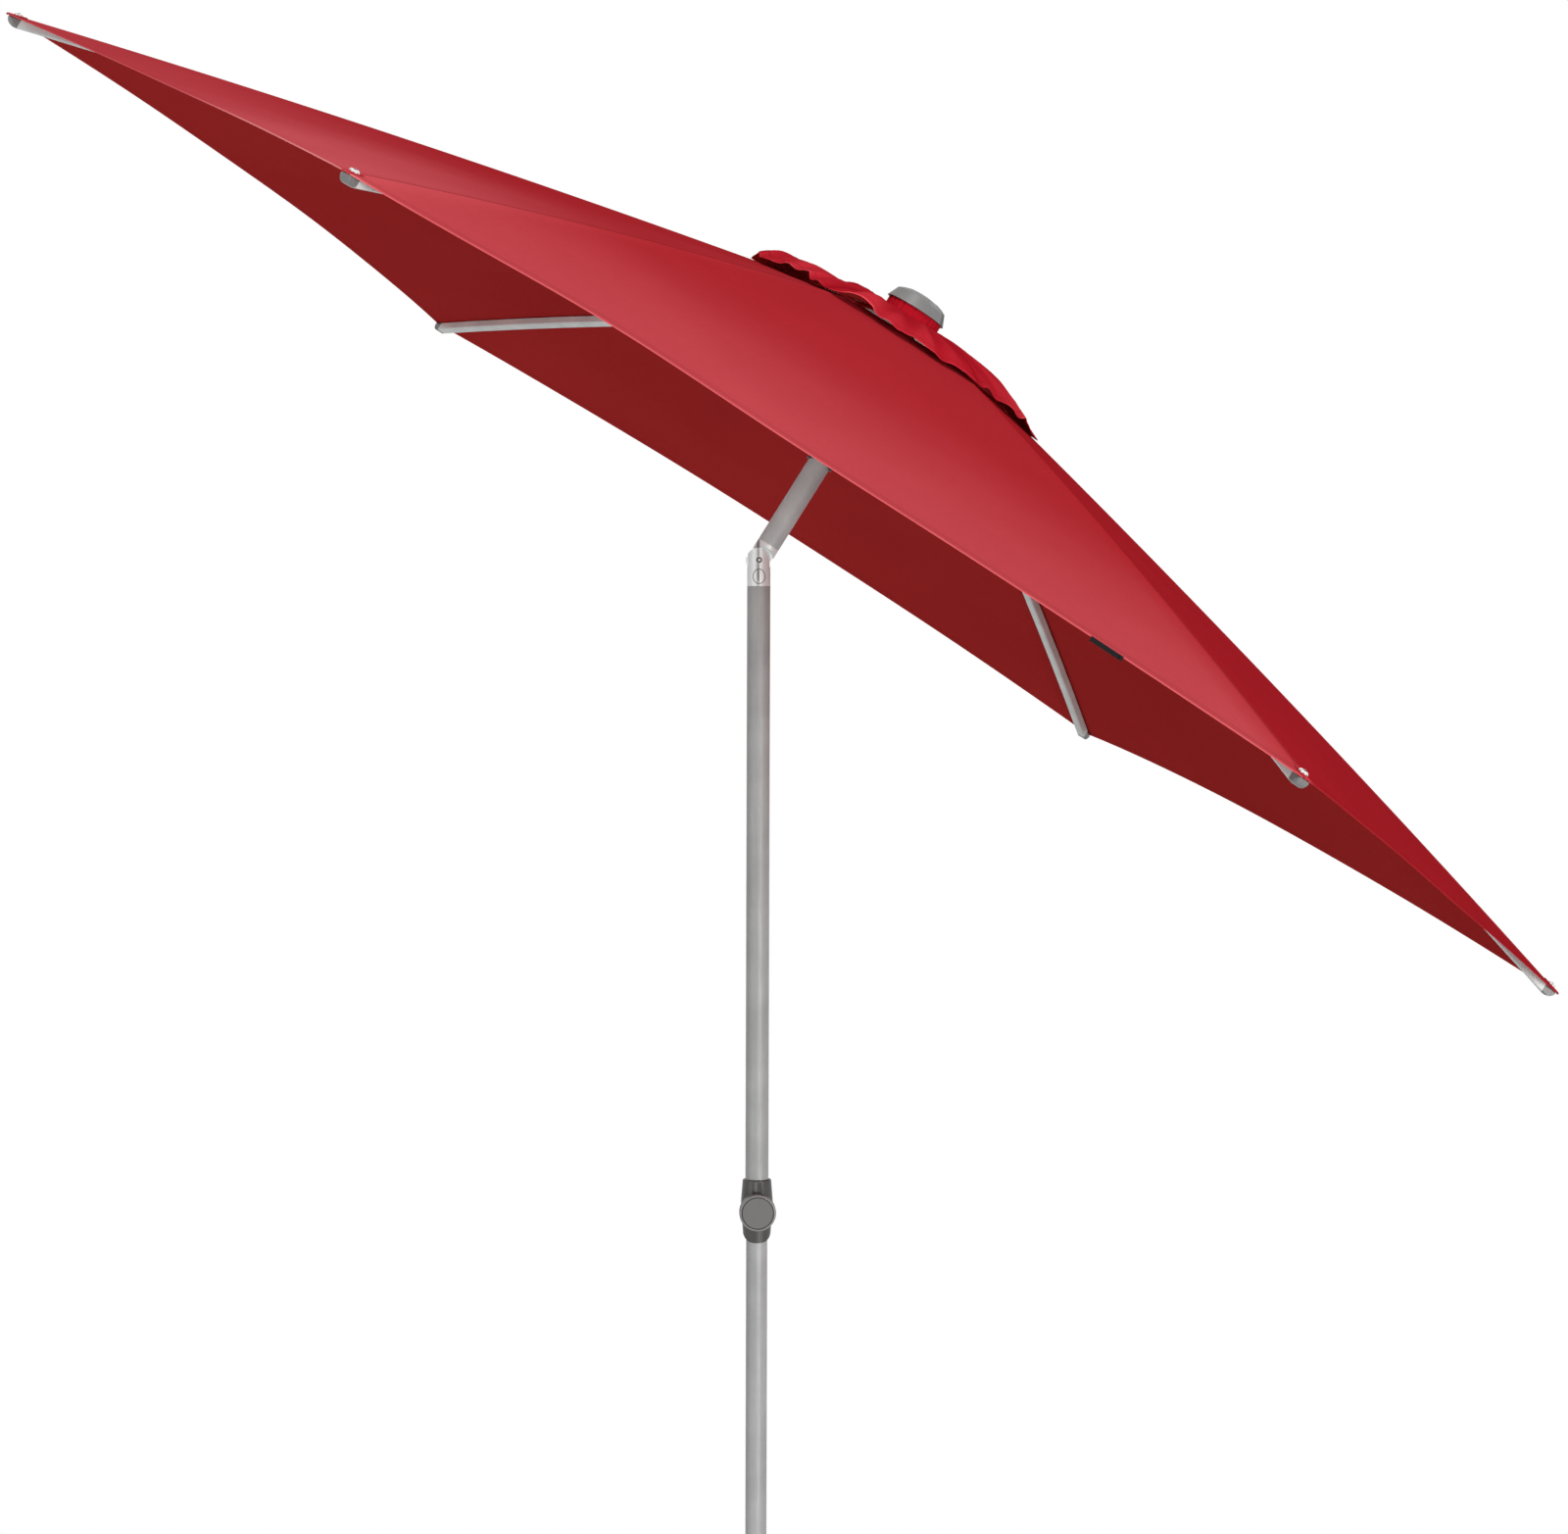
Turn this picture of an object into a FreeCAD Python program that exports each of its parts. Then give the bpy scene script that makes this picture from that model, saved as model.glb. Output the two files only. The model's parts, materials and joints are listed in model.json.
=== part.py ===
import FreeCAD, Part

import math
import os

from FreeCAD import Vector as V

# Tilting push-up parasol on a weighted stand. Millimetres; the origin is on the ground under
# the pole, +Z is up and the canopy leans towards +X.

# Overall arrangement
PIVOT_Z = 1986.0  # height of the tilt pin
TILT_DEG = 32.0  # lean of the canopy from level
RIB_COUNT = 6

# Canopy cloth, heights measured along the head pole from the tilt pin
TIP_R = 1500.0  # centre line to the cloth corners
TIP_A = 100.0  # height of the plane through the corners
RIB_SLOPE_DEG = 13.75  # corner to crown
RIB_BOW = 14.0  # rise of the rib line above its chord
HEM_DEPTH = 70.0  # inward curve of each hem, in the panel's own plane
HEM_FULLNESS = 375.0  # how far the hem stays nearly straight from its middle
CLOTH_T = 1.2
SEAM_GAP = 0.3  # between neighbouring cloth pieces
CLOTH_GAP = 0.3  # between cloth and what it lies on
TIP_TAB = 3.0  # cloth past the corner radius
VENT_R = 200.0  # open crown of the main canopy, at the ribs
STRAP_W = 30.0  # webbing from the vent edge up to the crown
STRAP_GAP = 1.0  # between a strap's end and the hub
CLOTH_TRIM = 14.0  # surplus that the plan outline trims away
HOOD_CORNER_R = 283.0
HOOD_CORNER_RISE = 6.6  # the hood's heights over the rib line
HOOD_MID_R = 165.0
HOOD_MID_RISE = 23.85
HOOD_IN_RISE = 14.25
HOOD_TAB_W = 6.0  # stitched tab that holds each hood corner down
HOOD_TAB_L = 12.0
HOOD_TAB_INSET = 3.0
HOOD_TAB_SINK = 1.0  # depth of its top in the hood's cloth
NECK_R = 47.0
NECK_LOW = -7.4  # from the crown point
NECK_HIGH = 14.0

# Ribs
RIB_W = 18.0
RIB_H = 16.5
RIB_WALL = 1.2
RIB_EDGE = 2.2  # bevel of the tube's four long edges
RIB_IN_GAP = 6.0  # from the hub to the rib's inner end
RIB_OUT_INSET = 25.0  # from the corner radius
PLUG_GAP = 0.1  # plastic ends pushed into the rib tube
PLUG_DEPTH = 32.0  # how far an end fitting reaches into the tube
HINGE_R = 38.0  # rib hinge circle
HINGE_PIN_R = 2.5
HINGE_PIN_L = 28.0
PIN_GAP = 0.05  # running clearance of the hinge eyes
TIP_CAP_INSET = 3.0
TIP_CAP_GAP = 0.5
TIP_TOE_R = 14.0
TIP_RING_R = 5.0  # moulded ring on both sides of the cap
TIP_RING_W = 0.9
TIP_RING_DEPTH = 0.5
ROSETTE_R = 6.5
ROSETTE_H = 2.5
ROSETTE_INSET = 16.0
ROSETTE_STEM_R = 2.0
ROSETTE_HOLE_GAP = 0.3

# Struts and their brackets
STRUT_AT_R = 505.0
BRACKET_L = 40.0
BRACKET_WALL = 2.2
BRACKET_GAP = 0.1
BRACKET_DROP = 19.0  # below the underside of the rib
BRACKET_LAP = 12.0  # up the sides of the rib
BRACKET_PIN_DROP = 10.5
BRACKET_PIN_INSET = 0.5
STRUT_T = 8.0
STRUT_H = 15.0
STRUT_GAP = 0.3  # at each side of a strut in its slot
STRUT_PIN_R = 2.5
RUNNER_PIN_A = 228.0
LINK_SLACK = 1.4  # extra radius of the eye on the runner pin

# Head pole and crown, the crown's heights measured from the crown point
POLE_R = 19.0
POLE_WALL = 1.2
SPIGOT_GAP = 0.1
HEAD_SEAM_A = 30.0
HUB_R = 52.0
HUB_LOW = -41.0
HUB_SHOULDER = -11.6
HUB_CORE_TOP = 12.0
HUB_BOSS_R = 40.0
HUB_BOSS_TOP = 25.0
HUB_FLOOR = -27.0  # the pole stops against this shoulder
HUB_SLOT_GAP = 0.3  # at each side of a rib's lug
HUB_SLOT_DEPTH = 14.0  # inwards from the hinge circle
HUB_SLOT_TOP = -4.0
CAP_RIM_R = 53.0
CAP_RIM = 14.5
CAP_PROFILE = ((52.2, 2.2), (44.5, 19.0), (37.0, 23.0), (27.0, 26.4), (0.0, 28.5))
CAP_WALL = 2.5
CAP_FIT = 0.3
CAP_RECESS = 2.0  # depth of the shallow bite in the cap's front right
CAP_RECESS_R = 22.0
CAP_RECESS_AT = (28.0, -25.5)

# Runner, its heights measured from the strut pins
RUNNER_LOW = -43.0
RUNNER_SKIRT_TOP = -14.0
RUNNER_FLANGE_TOP = 12.0
RUNNER_TOP = 38.0
RUNNER_GAP = 0.1
RUNNER_SKIRT_GAP = 2.6
RUNNER_SKIRT_WALL = 1.8
RUNNER_SLEEVE_WALL = 3.3
RUNNER_FLANGE_R = 47.0
RUNNER_SLOT_DEPTH = 9.5  # inwards from the hinge circle
RUNNER_STEP = 4.0  # the skirt opens out this far under the flange
SKIRT_WINDOW_W = 34.0
SKIRT_WINDOW_H = 20.0
CATCH_RISE = 24.0
CATCH_PIN_R = 3.0
CATCH_BOSS_R = 8.0
CATCH_BOSS_OUT = 33.0
CATCH_GRIP_R = 7.0
CATCH_GRIP_L = 8.0
CATCH_GRIP_GAP = 2.0
CATCH_HOLE_GAP = 0.3
CATCH_TIP_GAP = 0.3  # the plunger stops just short of its hole in the pole
CATCH_CHAMFER = 1.0

# Tilt knuckle, measured from the tilt pin
KNUCKLE_SEAT = 42.5  # down to the top of the upper pole
EAR_PROUD = 1.5  # radius of the round ears beyond the pole's
TONGUE_W = 14.0
TONGUE_GAP = 0.2
TONGUE_R = 17.0
HEEL_PROUD = 0.3  # past the ears
HEEL_GAP = 0.8
HEEL_FROM_DEG = 198.0
HEEL_TO_DEG = 240.0
SKIRT_CUT_GAP = 1.1
SKIRT_CUT_SHIFT = 1.8
SKIRT_CUT_DIR_DEG = 65.0
SPIGOT_L = 40.0
TILT_PIN_R = 4.0
TILT_HEAD_R = 4.6
TILT_HEAD_T = 2.0
TILT_HEAD_PROUD = 0.3
TILT_SPOT_GAP = 0.3
TILT_DIMPLE_R = 2.2
TILT_DIMPLE = 0.8
BUTTON_DROP = 26.7
BUTTON_HALF_W = 10.05
BUTTON_HALF_H = 12.35
BUTTON_GAP = 0.3
BUTTON_BACK = 13.0
BUTTON_POCKET = 8.2
BUTTON_PROUD = 0.2
BUTTON_STEM_R = 3.0
BUTTON_STEM_END = 11.0
BUTTON_TRAVEL = 4.5
SPRING_WIRE_R = 0.5
SPRING_R = 6.0
SPRING_TURNS = 2.0
SPRING_SEAT = 0.1

# Telescopic pole and clamp collar
TELESCOPE_GAP = 0.3  # between the upper pole's bore and the lower pole
LOWER_WALL = 1.5
LOWER_TOP_Z = 1260.0
SLIDE_GAP = 0.1
GUIDE_GAP = 0.08
GUIDE_H = 14.0
GUIDE_CHAMFER = 1.0
PLUG_L = 24.0
FOOT_CAP_T = 5.0
KNOB_DROP = 1067.0  # knob's height below the tilt pin
UPPER_LOW = 22.0  # the rest of the collar is measured from its knob
COLLAR_TOP = 49.5
COLLAR_LOW = -53.5
COLLAR_PROFILE = ((22.5, COLLAR_TOP), (23.5, 48.0), (26.3, 13.0), (24.2, -20.0), (21.6, COLLAR_LOW))
COLLAR_FOOT = ((22.5, -41.0), (20.0, -46.0), (16.0, -50.2), (11.0, -52.6), (5.0, COLLAR_LOW))
COLLAR_BOSS_R = 21.0
COLLAR_BOSS_OUT = 31.0
COLLAR_GROOVE_R = 11.5
COLLAR_GROOVE_OUT = 32.0
COLLAR_GROOVE_FROM = 24.0
COLLAR_LIP = 2.5
KNOB_R = 30.0
KNOB_GAP = 1.0
KNOB_T = 21.0
KNOB_EDGE = 3.0
KNOB_DISC_R = 25.0
KNOB_GROOVE_W = 1.8
KNOB_GROOVE_DEPTH = 1.6
SCREW_R = 4.0
SCREW_GAP = 0.05
PAD_R = 5.0
PAD_POCKET_GAP = 0.2
PAD_L = 4.0
PAD_TRAVEL = 3.5
KNOB_SCREW_IN = 12.0  # screw held in the knob

# Stand
DISC_R = 280.0
DISC_LOW_Z = 6.0
DISC_TOP_Z = 36.0
DISC_EDGE = 3.0
DISC_RIM_H = 12.0
DISC_SHOULDER = 6.0
DISC_SHOULDER_H = 4.0
DISC_CROWN = ((90.0, 7.0), (48.0, 3.0), (40.0, 0.0))  # radius and depth below the top
BOLT_R = 6.0
BOLT_HOLE_R = 6.3
BOLT_SIDES = 6
BOLT_HEAD_AF = 19.0
BOLT_HEAD_H = 7.5
BOLT_POCKET_R = 17.0
BOLT_POCKET_H = 12.0
WASHER_R = 12.0
WASHER_T = 2.5
FOOT_R = 16.0
FOOT_INSET = 35.0
FOOT_COUNT = 6
FOOT_POCKET = 2.0
CENTRE_FOOT_R = 20.0
STAND_R = 27.0
STAND_WALL = 2.5
STAND_PLATE_R = 38.0
STAND_PLATE_T = 5.0
STAND_TOP_Z = 318.0
SLEEVE_LOW_Z = 120.0
SLEEVE_GAP = 0.2
SLEEVE_FLANGE_H = 7.0
SLEEVE_SPLIT = 2.0
STAND_KNOB_DROP = 56.0  # below the top of the socket tube
STAND_BOSS_R = 11.0
STAND_BOSS_OUT = 41.0
STAND_KNOB_R = 25.0
STAND_KNOB_T = 17.0
STAND_KNOB_GAP = 1.0
STAND_KNOB_STEM = 4.0
STAND_KNOB_STEM_R = 8.0
STAND_LOBES = 5
STAND_LOBE_R = 7.0

# Blank label on the hem of the front panel
LABEL_L = 51.0
LABEL_W = 7.0
LABEL_T = 0.8
LABEL_AT = 0.42  # from the corner to the middle of the hem
LABEL_RIB = 5

OVER = 1.0  # how far a cutter or a buried end runs past a face
NEAR = 0.01  # two points closer than this are one

RIB_STEP_DEG = 360.0 / RIB_COUNT
SLOPE = math.tan(math.radians(RIB_SLOPE_DEG))
COS_HALF = math.cos(math.radians(RIB_STEP_DEG / 2))
SIN_HALF = math.sin(math.radians(RIB_STEP_DEG / 2))
CROWN_A = TIP_A + TIP_R * SLOPE  # the crown point: where the rib lines meet the centre line
CAP_RIM_A = CROWN_A + CAP_RIM
HUB_BOSS_TOP_A = CROWN_A + HUB_BOSS_TOP
HUB_CORE_R = NECK_R - CLOTH_T - CLOTH_GAP
HUB_FLOOR_A = CROWN_A + HUB_FLOOR
STRAP_IN_R = HUB_R + STRAP_GAP
RIB_IN_R = HUB_R + RIB_IN_GAP
RIB_OUT_R = TIP_R - RIB_OUT_INSET
TIP_CAP_OUT_R = TIP_R - TIP_CAP_INSET
ROSETTE_AT_R = TIP_R - ROSETTE_INSET
PLUG_W = RIB_W - 2 * (RIB_WALL + PLUG_GAP)
STRUT_SLOT = STRUT_T + 2 * STRUT_GAP
CATCH_A = RUNNER_PIN_A + CATCH_RISE
CATCH_STEM_OUT = CATCH_BOSS_OUT + CATCH_GRIP_GAP
SPIGOT_R = POLE_R - POLE_WALL - SPIGOT_GAP
EAR_R = POLE_R + EAR_PROUD
HEEL_R = EAR_R + HEEL_PROUD
TILT_HEAD_OUT = POLE_R + TILT_HEAD_PROUD
LOWER_R = POLE_R - POLE_WALL - TELESCOPE_GAP
LOWER_BORE_R = LOWER_R + SLIDE_GAP
KNOB_Z = PIVOT_Z - KNOB_DROP
KNOB_BACK = COLLAR_BOSS_OUT + KNOB_GAP
UPPER_LOW_Z = KNOB_Z + UPPER_LOW
PLATE_TOP_Z = DISC_TOP_Z + STAND_PLATE_T
BOLT_SEAT_Z = DISC_LOW_Z + BOLT_POCKET_H
SLEEVE_R = STAND_R - STAND_WALL - SLEEVE_GAP
STAND_KNOB_Z = STAND_TOP_Z - STAND_KNOB_DROP
STAND_KNOB_STEM_OUT = STAND_BOSS_OUT + STAND_KNOB_GAP
STAND_KNOB_BACK = STAND_KNOB_STEM_OUT + STAND_KNOB_STEM

X, Y, Z = V(1, 0, 0), V(0, 1, 0), V(0, 0, 1)
OUT_FRONT = V(0, -1, 0)


def cyl(r, a, b, axis=Z, at=V(0, 0, 0)):
    """A cylinder round the axis through a point, from distance a to distance b along it."""
    return Part.makeCylinder(r, b - a, at + axis * a, axis)


def ring(r_out, r_in, a, b, axis=Z, at=V(0, 0, 0)):
    return cyl(r_out, a, b, axis, at).cut(cyl(r_in, a - OVER, b + OVER, axis, at))


def block(x0, x1, y0, y1, z0, z1):
    return Part.makeBox(x1 - x0, y1 - y0, z1 - z0, V(x0, y0, z0))


def plate(points, y0, y1):
    """A polygon in the XZ plane, thickened from y0 to y1."""
    ends = [V(x, y0, z) for x, z in points]
    return Part.Face(Part.makePolygon(ends + ends[:1])).extrude(V(0, y1 - y0, 0))


def turned(points):
    """A solid of revolution about Z from (radius, height) points."""
    ends = [V(r, 0, z) for r, z in points]
    return Part.Face(Part.makePolygon(ends + ends[:1])).revolve(V(0, 0, 0), Z, 360)


def around(shape, deg):
    out = shape.copy()
    out.rotate(V(0, 0, 0), Z, deg)
    return out


def at_pivot(shape):
    out = shape.copy()
    out.translate(V(0, 0, PIVOT_Z))
    return out


def leaned(shape):
    """Head pole coordinates, measured from the tilt pin, to the row's."""
    out = shape.copy()
    out.rotate(V(0, 0, 0), Y, TILT_DEG)
    return at_pivot(out)


def mirrored(shape):
    return shape.mirror(V(0, 0, 0), Y)


def joined(shapes):
    return shapes[0].multiFuse(shapes[1:]).removeSplitter()


def rib_line(r):
    """Height of the cloth's outer face over a rib."""
    t = r / TIP_R
    return TIP_A + (TIP_R - r) * SLOPE + 4 * RIB_BOW * t * (1 - t)


def rib_fall(r):
    """Downward gradient of the rib line."""
    return SLOPE - 4 * RIB_BOW * (1 - 2 * r / TIP_R) / TIP_R


def arc_band(r0, r1, top, bottom, half_w, edge):
    """A bar with bevelled edges that follows the rib line, between two depths under the cloth."""
    rm = (r0 + r1) / 2

    def curve(drop, ends):
        return Part.Arc(*[V(r, -half_w, rib_line(r) - drop) for r in ends]).toShape()

    low0, low1 = V(r0, -half_w, rib_line(r0) - bottom), V(r1, -half_w, rib_line(r1) - bottom)
    top0, top1 = V(r0, -half_w, rib_line(r0) - top), V(r1, -half_w, rib_line(r1) - top)
    wire = Part.Wire([
        curve(top, (r0, rm, r1)),
        Part.makeLine(top1, low1),
        curve(bottom, (r1, rm, r0)),
        Part.makeLine(low0, top0),
    ])
    bar = Part.Face(wire).extrude(V(0, 2 * half_w, 0))
    return bar.makeChamfer(edge, [e for e in bar.Edges if isinstance(e.Curve, Part.Circle)])


RIB_TOP = CLOTH_T + CLOTH_GAP + RIB_W / 2 * SIN_HALF / COS_HALF * rib_fall(TIP_R)
RIB_LOW = RIB_TOP + RIB_H
BEVEL_LOSS = 2 - math.sqrt(2)  # what a bevel loses for each millimetre that its section is inset
BORE_EDGE = RIB_EDGE - BEVEL_LOSS * RIB_WALL
PLUG_EDGE = BORE_EDGE - BEVEL_LOSS * PLUG_GAP
PLUG_TOP = RIB_TOP + RIB_WALL + PLUG_GAP
PLUG_LOW = RIB_LOW - RIB_WALL - PLUG_GAP
HINGE_A = rib_line(HINGE_R) - RIB_TOP - RIB_H / 2
STRUT_PIN = (STRUT_AT_R, rib_line(STRUT_AT_R) - RIB_LOW - BRACKET_PIN_DROP)


def make_rib():
    tube = arc_band(RIB_IN_R, RIB_OUT_R, RIB_TOP, RIB_LOW, RIB_W / 2, RIB_EDGE)
    bore = arc_band(RIB_IN_R - OVER, RIB_OUT_R + OVER, RIB_TOP + RIB_WALL, RIB_LOW - RIB_WALL,
                    RIB_W / 2 - RIB_WALL, BORE_EDGE)
    return tube.cut(bore)


def make_rib_fittings():
    """The hinge lug, the strut bracket and the end cap with its rosette."""
    return Part.makeCompound([make_lug(), make_bracket(), make_tip()])


def make_lug():
    plug = arc_band(HINGE_R, RIB_IN_R + PLUG_DEPTH, PLUG_TOP, PLUG_LOW, PLUG_W / 2, PLUG_EDGE)
    at = V(HINGE_R, 0, HINGE_A)
    eye = cyl((PLUG_LOW - PLUG_TOP) / 2, -PLUG_W / 2, PLUG_W / 2, Y, at)
    return joined([plug, eye]).cut(cyl(HINGE_PIN_R + PIN_GAP, -PLUG_W, PLUG_W, Y, at))


def make_bracket():
    """Clip round the underside of the rib, forked for the strut, with its pin."""
    x, z = STRUT_PIN
    half_w = RIB_W / 2 + BRACKET_GAP + BRACKET_WALL
    saddle = block(-BRACKET_L / 2, BRACKET_L / 2, -half_w, half_w, -BRACKET_DROP, BRACKET_LAP)
    fork = block(-BRACKET_L, BRACKET_L, -STRUT_SLOT / 2, STRUT_SLOT / 2,
                 -BRACKET_DROP - OVER, -BRACKET_WALL)
    channel = block(-BRACKET_L, BRACKET_L, -RIB_W / 2 - BRACKET_GAP, RIB_W / 2 + BRACKET_GAP,
                    -BRACKET_GAP, BRACKET_LAP + OVER)
    clip = saddle.cut([fork, channel])
    clip.rotate(V(0, 0, 0), Y, math.degrees(math.atan(rib_fall(x))))
    clip.translate(V(x, 0, z + BRACKET_PIN_DROP))
    pin_half = half_w - BRACKET_PIN_INSET
    return joined([clip, cyl(STRUT_PIN_R, -pin_half, pin_half, Y, V(x, 0, z))])


def tip_toe():
    """What rounding the lower outer corner of the end cap takes away."""
    lean = math.atan(rib_fall(TIP_CAP_OUT_R))
    down = V(-math.sin(lean), 0, -math.cos(lean))
    r = TIP_CAP_OUT_R - TIP_TOE_R
    centre = V(r, 0, rib_line(r) - RIB_LOW + TIP_TOE_R / math.cos(lean))
    low = centre + down * (TIP_TOE_R + OVER)
    past, far_low = TIP_CAP_OUT_R + OVER, rib_line(TIP_CAP_OUT_R) - 2 * RIB_LOW
    corner = plate([(centre.x, centre.z), (low.x, low.z), (past, far_low), (past, centre.z)],
                   -RIB_W, RIB_W)
    return corner.cut(cyl(TIP_TOE_R, -RIB_W, RIB_W, Y, centre))


def make_tip():
    """End cap of the rib, its tail in the tube and the rosette that buttons the cloth down."""
    start = RIB_OUT_R + TIP_CAP_GAP
    cap = arc_band(start, TIP_CAP_OUT_R, RIB_TOP, RIB_LOW, RIB_W / 2, RIB_EDGE).cut(tip_toe())
    middle = (start + TIP_CAP_OUT_R) / 2
    at = V(middle, 0, rib_line(middle) - (RIB_TOP + RIB_LOW) / 2)
    groove = [ring(TIP_RING_R, TIP_RING_R - TIP_RING_W, a, b, Y, at) for a, b in
              ((-RIB_W, TIP_RING_DEPTH - RIB_W / 2), (RIB_W / 2 - TIP_RING_DEPTH, RIB_W))]
    cap = cap.cut(groove)
    tail = arc_band(start - PLUG_DEPTH, start + OVER, PLUG_TOP, PLUG_LOW, PLUG_W / 2, PLUG_EDGE)
    top_z = rib_line(ROSETTE_AT_R)
    stem = cyl(ROSETTE_STEM_R, top_z - RIB_TOP - OVER, top_z + CLOTH_GAP + ROSETTE_H / 2,
               at=V(ROSETTE_AT_R, 0, 0))
    disc = cyl(ROSETTE_R, 0, ROSETTE_H)
    disc = disc.makeFillet(ROSETTE_H / 2, [e for e in disc.Edges if e.Vertexes[0].Z > 0])
    disc.rotate(V(0, 0, 0), Y, math.degrees(math.atan(rib_fall(ROSETTE_AT_R))))
    disc.translate(V(ROSETTE_AT_R, 0, top_z + CLOTH_GAP))
    return joined([cap, tail, stem, disc])


def make_strut():
    """A flat bar with a close eye at the bracket and an open eye at the runner."""
    x0, z0 = HINGE_R, RUNNER_PIN_A
    x1, z1 = STRUT_PIN
    length = math.hypot(x1 - x0, z1 - z0)
    r = STRUT_H / 2
    bar = block(0, length, -STRUT_T / 2, STRUT_T / 2, -r, r)
    bar = joined([bar, cyl(r, -STRUT_T / 2, STRUT_T / 2, Y),
                  cyl(r, -STRUT_T / 2, STRUT_T / 2, Y, V(length, 0, 0))])
    bar = bar.cut(cyl(STRUT_PIN_R + LINK_SLACK, -STRUT_T, STRUT_T, Y))
    bar = bar.cut(cyl(STRUT_PIN_R + PIN_GAP, -STRUT_T, STRUT_T, Y, V(length, 0, 0)))
    bar.rotate(V(0, 0, 0), Y, -math.degrees(math.atan2(z1 - z0, x1 - x0)))
    bar.translate(V(x0, 0, z0))
    return bar


def half_cloth(height, r0, r1):
    """Cloth from a rib line to the middle of the next panel, thickened downwards."""
    stations = (r0, (r0 + r1) / 2, r1)
    along, across = COS_HALF * COS_HALF, COS_HALF * SIN_HALF
    rib = Part.Arc(*[V(r, 0, height(r)) for r in stations]).toShape()
    middle = Part.Arc(*[V(r * along, r * across, height(r)) for r in stations]).toShape()
    return Part.makeRuledSurface(rib, middle).extrude(V(0, 0, -CLOTH_T))


def seam_point(r):
    """A point on the middle line of a panel, drawn back by half of the seam gap."""
    return V(r * COS_HALF, r * SIN_HALF, 0) + V(SIN_HALF, -COS_HALF, 0) * (SEAM_GAP / 2)


def trimmed(cloth_half, outline):
    """Both halves of a cloth piece, cut to the plan outline given for one of them."""
    half = cloth_half.common(Part.Face(Part.Wire(outline)).extrude(V(0, 0, 2 * CROWN_A)))
    return half.fuse(mirrored(half)).removeSplitter()


def canopy_hem():
    """Plan curve of a hem, from a corner to the middle of its panel."""
    dip = HEM_DEPTH * math.cos(math.atan(SLOPE / COS_HALF))
    middle = seam_point(TIP_R * COS_HALF - dip)
    hem = Part.BezierCurve()
    hem.setPoles([V(TIP_R + TIP_TAB, 0, 0), middle + V(SIN_HALF, -COS_HALF, 0) * HEM_FULLNESS, middle])
    return hem


def make_canopy_gore():
    cloth = half_cloth(rib_line, STRAP_IN_R - CLOTH_TRIM, TIP_R + CLOTH_TRIM)
    hem = canopy_hem()
    corner, hem_middle = hem.StartPoint, hem.EndPoint
    vent = seam_point(VENT_R * COS_HALF)
    strap_y = STRAP_W / 2
    lap = V(VENT_R + (vent.x - VENT_R) * strap_y / vent.y, strap_y, 0)
    strap_end = V(STRAP_IN_R, strap_y, 0)
    gore = trimmed(cloth, [
        Part.makeLine(V(STRAP_IN_R, 0, 0), corner),
        hem.toShape(),
        Part.makeLine(hem_middle, vent),
        Part.makeLine(vent, lap),
        Part.makeLine(lap, strap_end),
        Part.makeLine(strap_end, V(STRAP_IN_R, 0, 0)),
    ])
    hole_r = ROSETTE_STEM_R + ROSETTE_HOLE_GAP
    return gore.cut(cyl(hole_r, 0, CROWN_A, at=V(ROSETTE_AT_R, 0, 0)))


def hood_line(r):
    """Height of the hood's outer face over a rib, a parabola through three stations."""
    stations = ((NECK_R, HOOD_IN_RISE), (HOOD_MID_R, HOOD_MID_RISE), (HOOD_CORNER_R, HOOD_CORNER_RISE))
    height = 0.0
    for r_i, rise in stations:
        weight = rib_line(r_i) + rise
        for r_j, _ in stations:
            if r_j != r_i:
                weight *= (r - r_j) / (r_i - r_j)
        height += weight
    return height


def make_hood_gore():
    cloth = half_cloth(hood_line, NECK_R - CLOTH_TRIM, HOOD_CORNER_R + CLOTH_TRIM)
    in_r = NECK_R + SEAM_GAP
    quarter = math.radians(RIB_STEP_DEG / 4)
    in_start, in_end = V(in_r, 0, 0), V(in_r * COS_HALF, in_r * SIN_HALF, 0)
    in_end += V(SIN_HALF, -COS_HALF, 0) * (SEAM_GAP / 2)
    inner = Part.Arc(in_end, V(in_r * math.cos(quarter), in_r * math.sin(quarter), 0), in_start)
    corner, middle = V(HOOD_CORNER_R, 0, 0), seam_point(HOOD_CORNER_R * COS_HALF)
    gore = trimmed(cloth, [
        Part.makeLine(in_start, corner),
        Part.makeLine(corner, middle),
        Part.makeLine(middle, in_end),
        inner.toShape(),
    ])
    r1 = HOOD_CORNER_R - HOOD_TAB_INSET
    r0 = r1 - HOOD_TAB_L
    tab = plate([(r0, rib_line(r0) + CLOTH_GAP), (r1, rib_line(r1) + CLOTH_GAP),
                 (r1, hood_line(r1) - HOOD_TAB_SINK), (r0, hood_line(r0) - HOOD_TAB_SINK)],
                -HOOD_TAB_W / 2, HOOD_TAB_W / 2)
    return joined([gore, tab])


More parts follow.
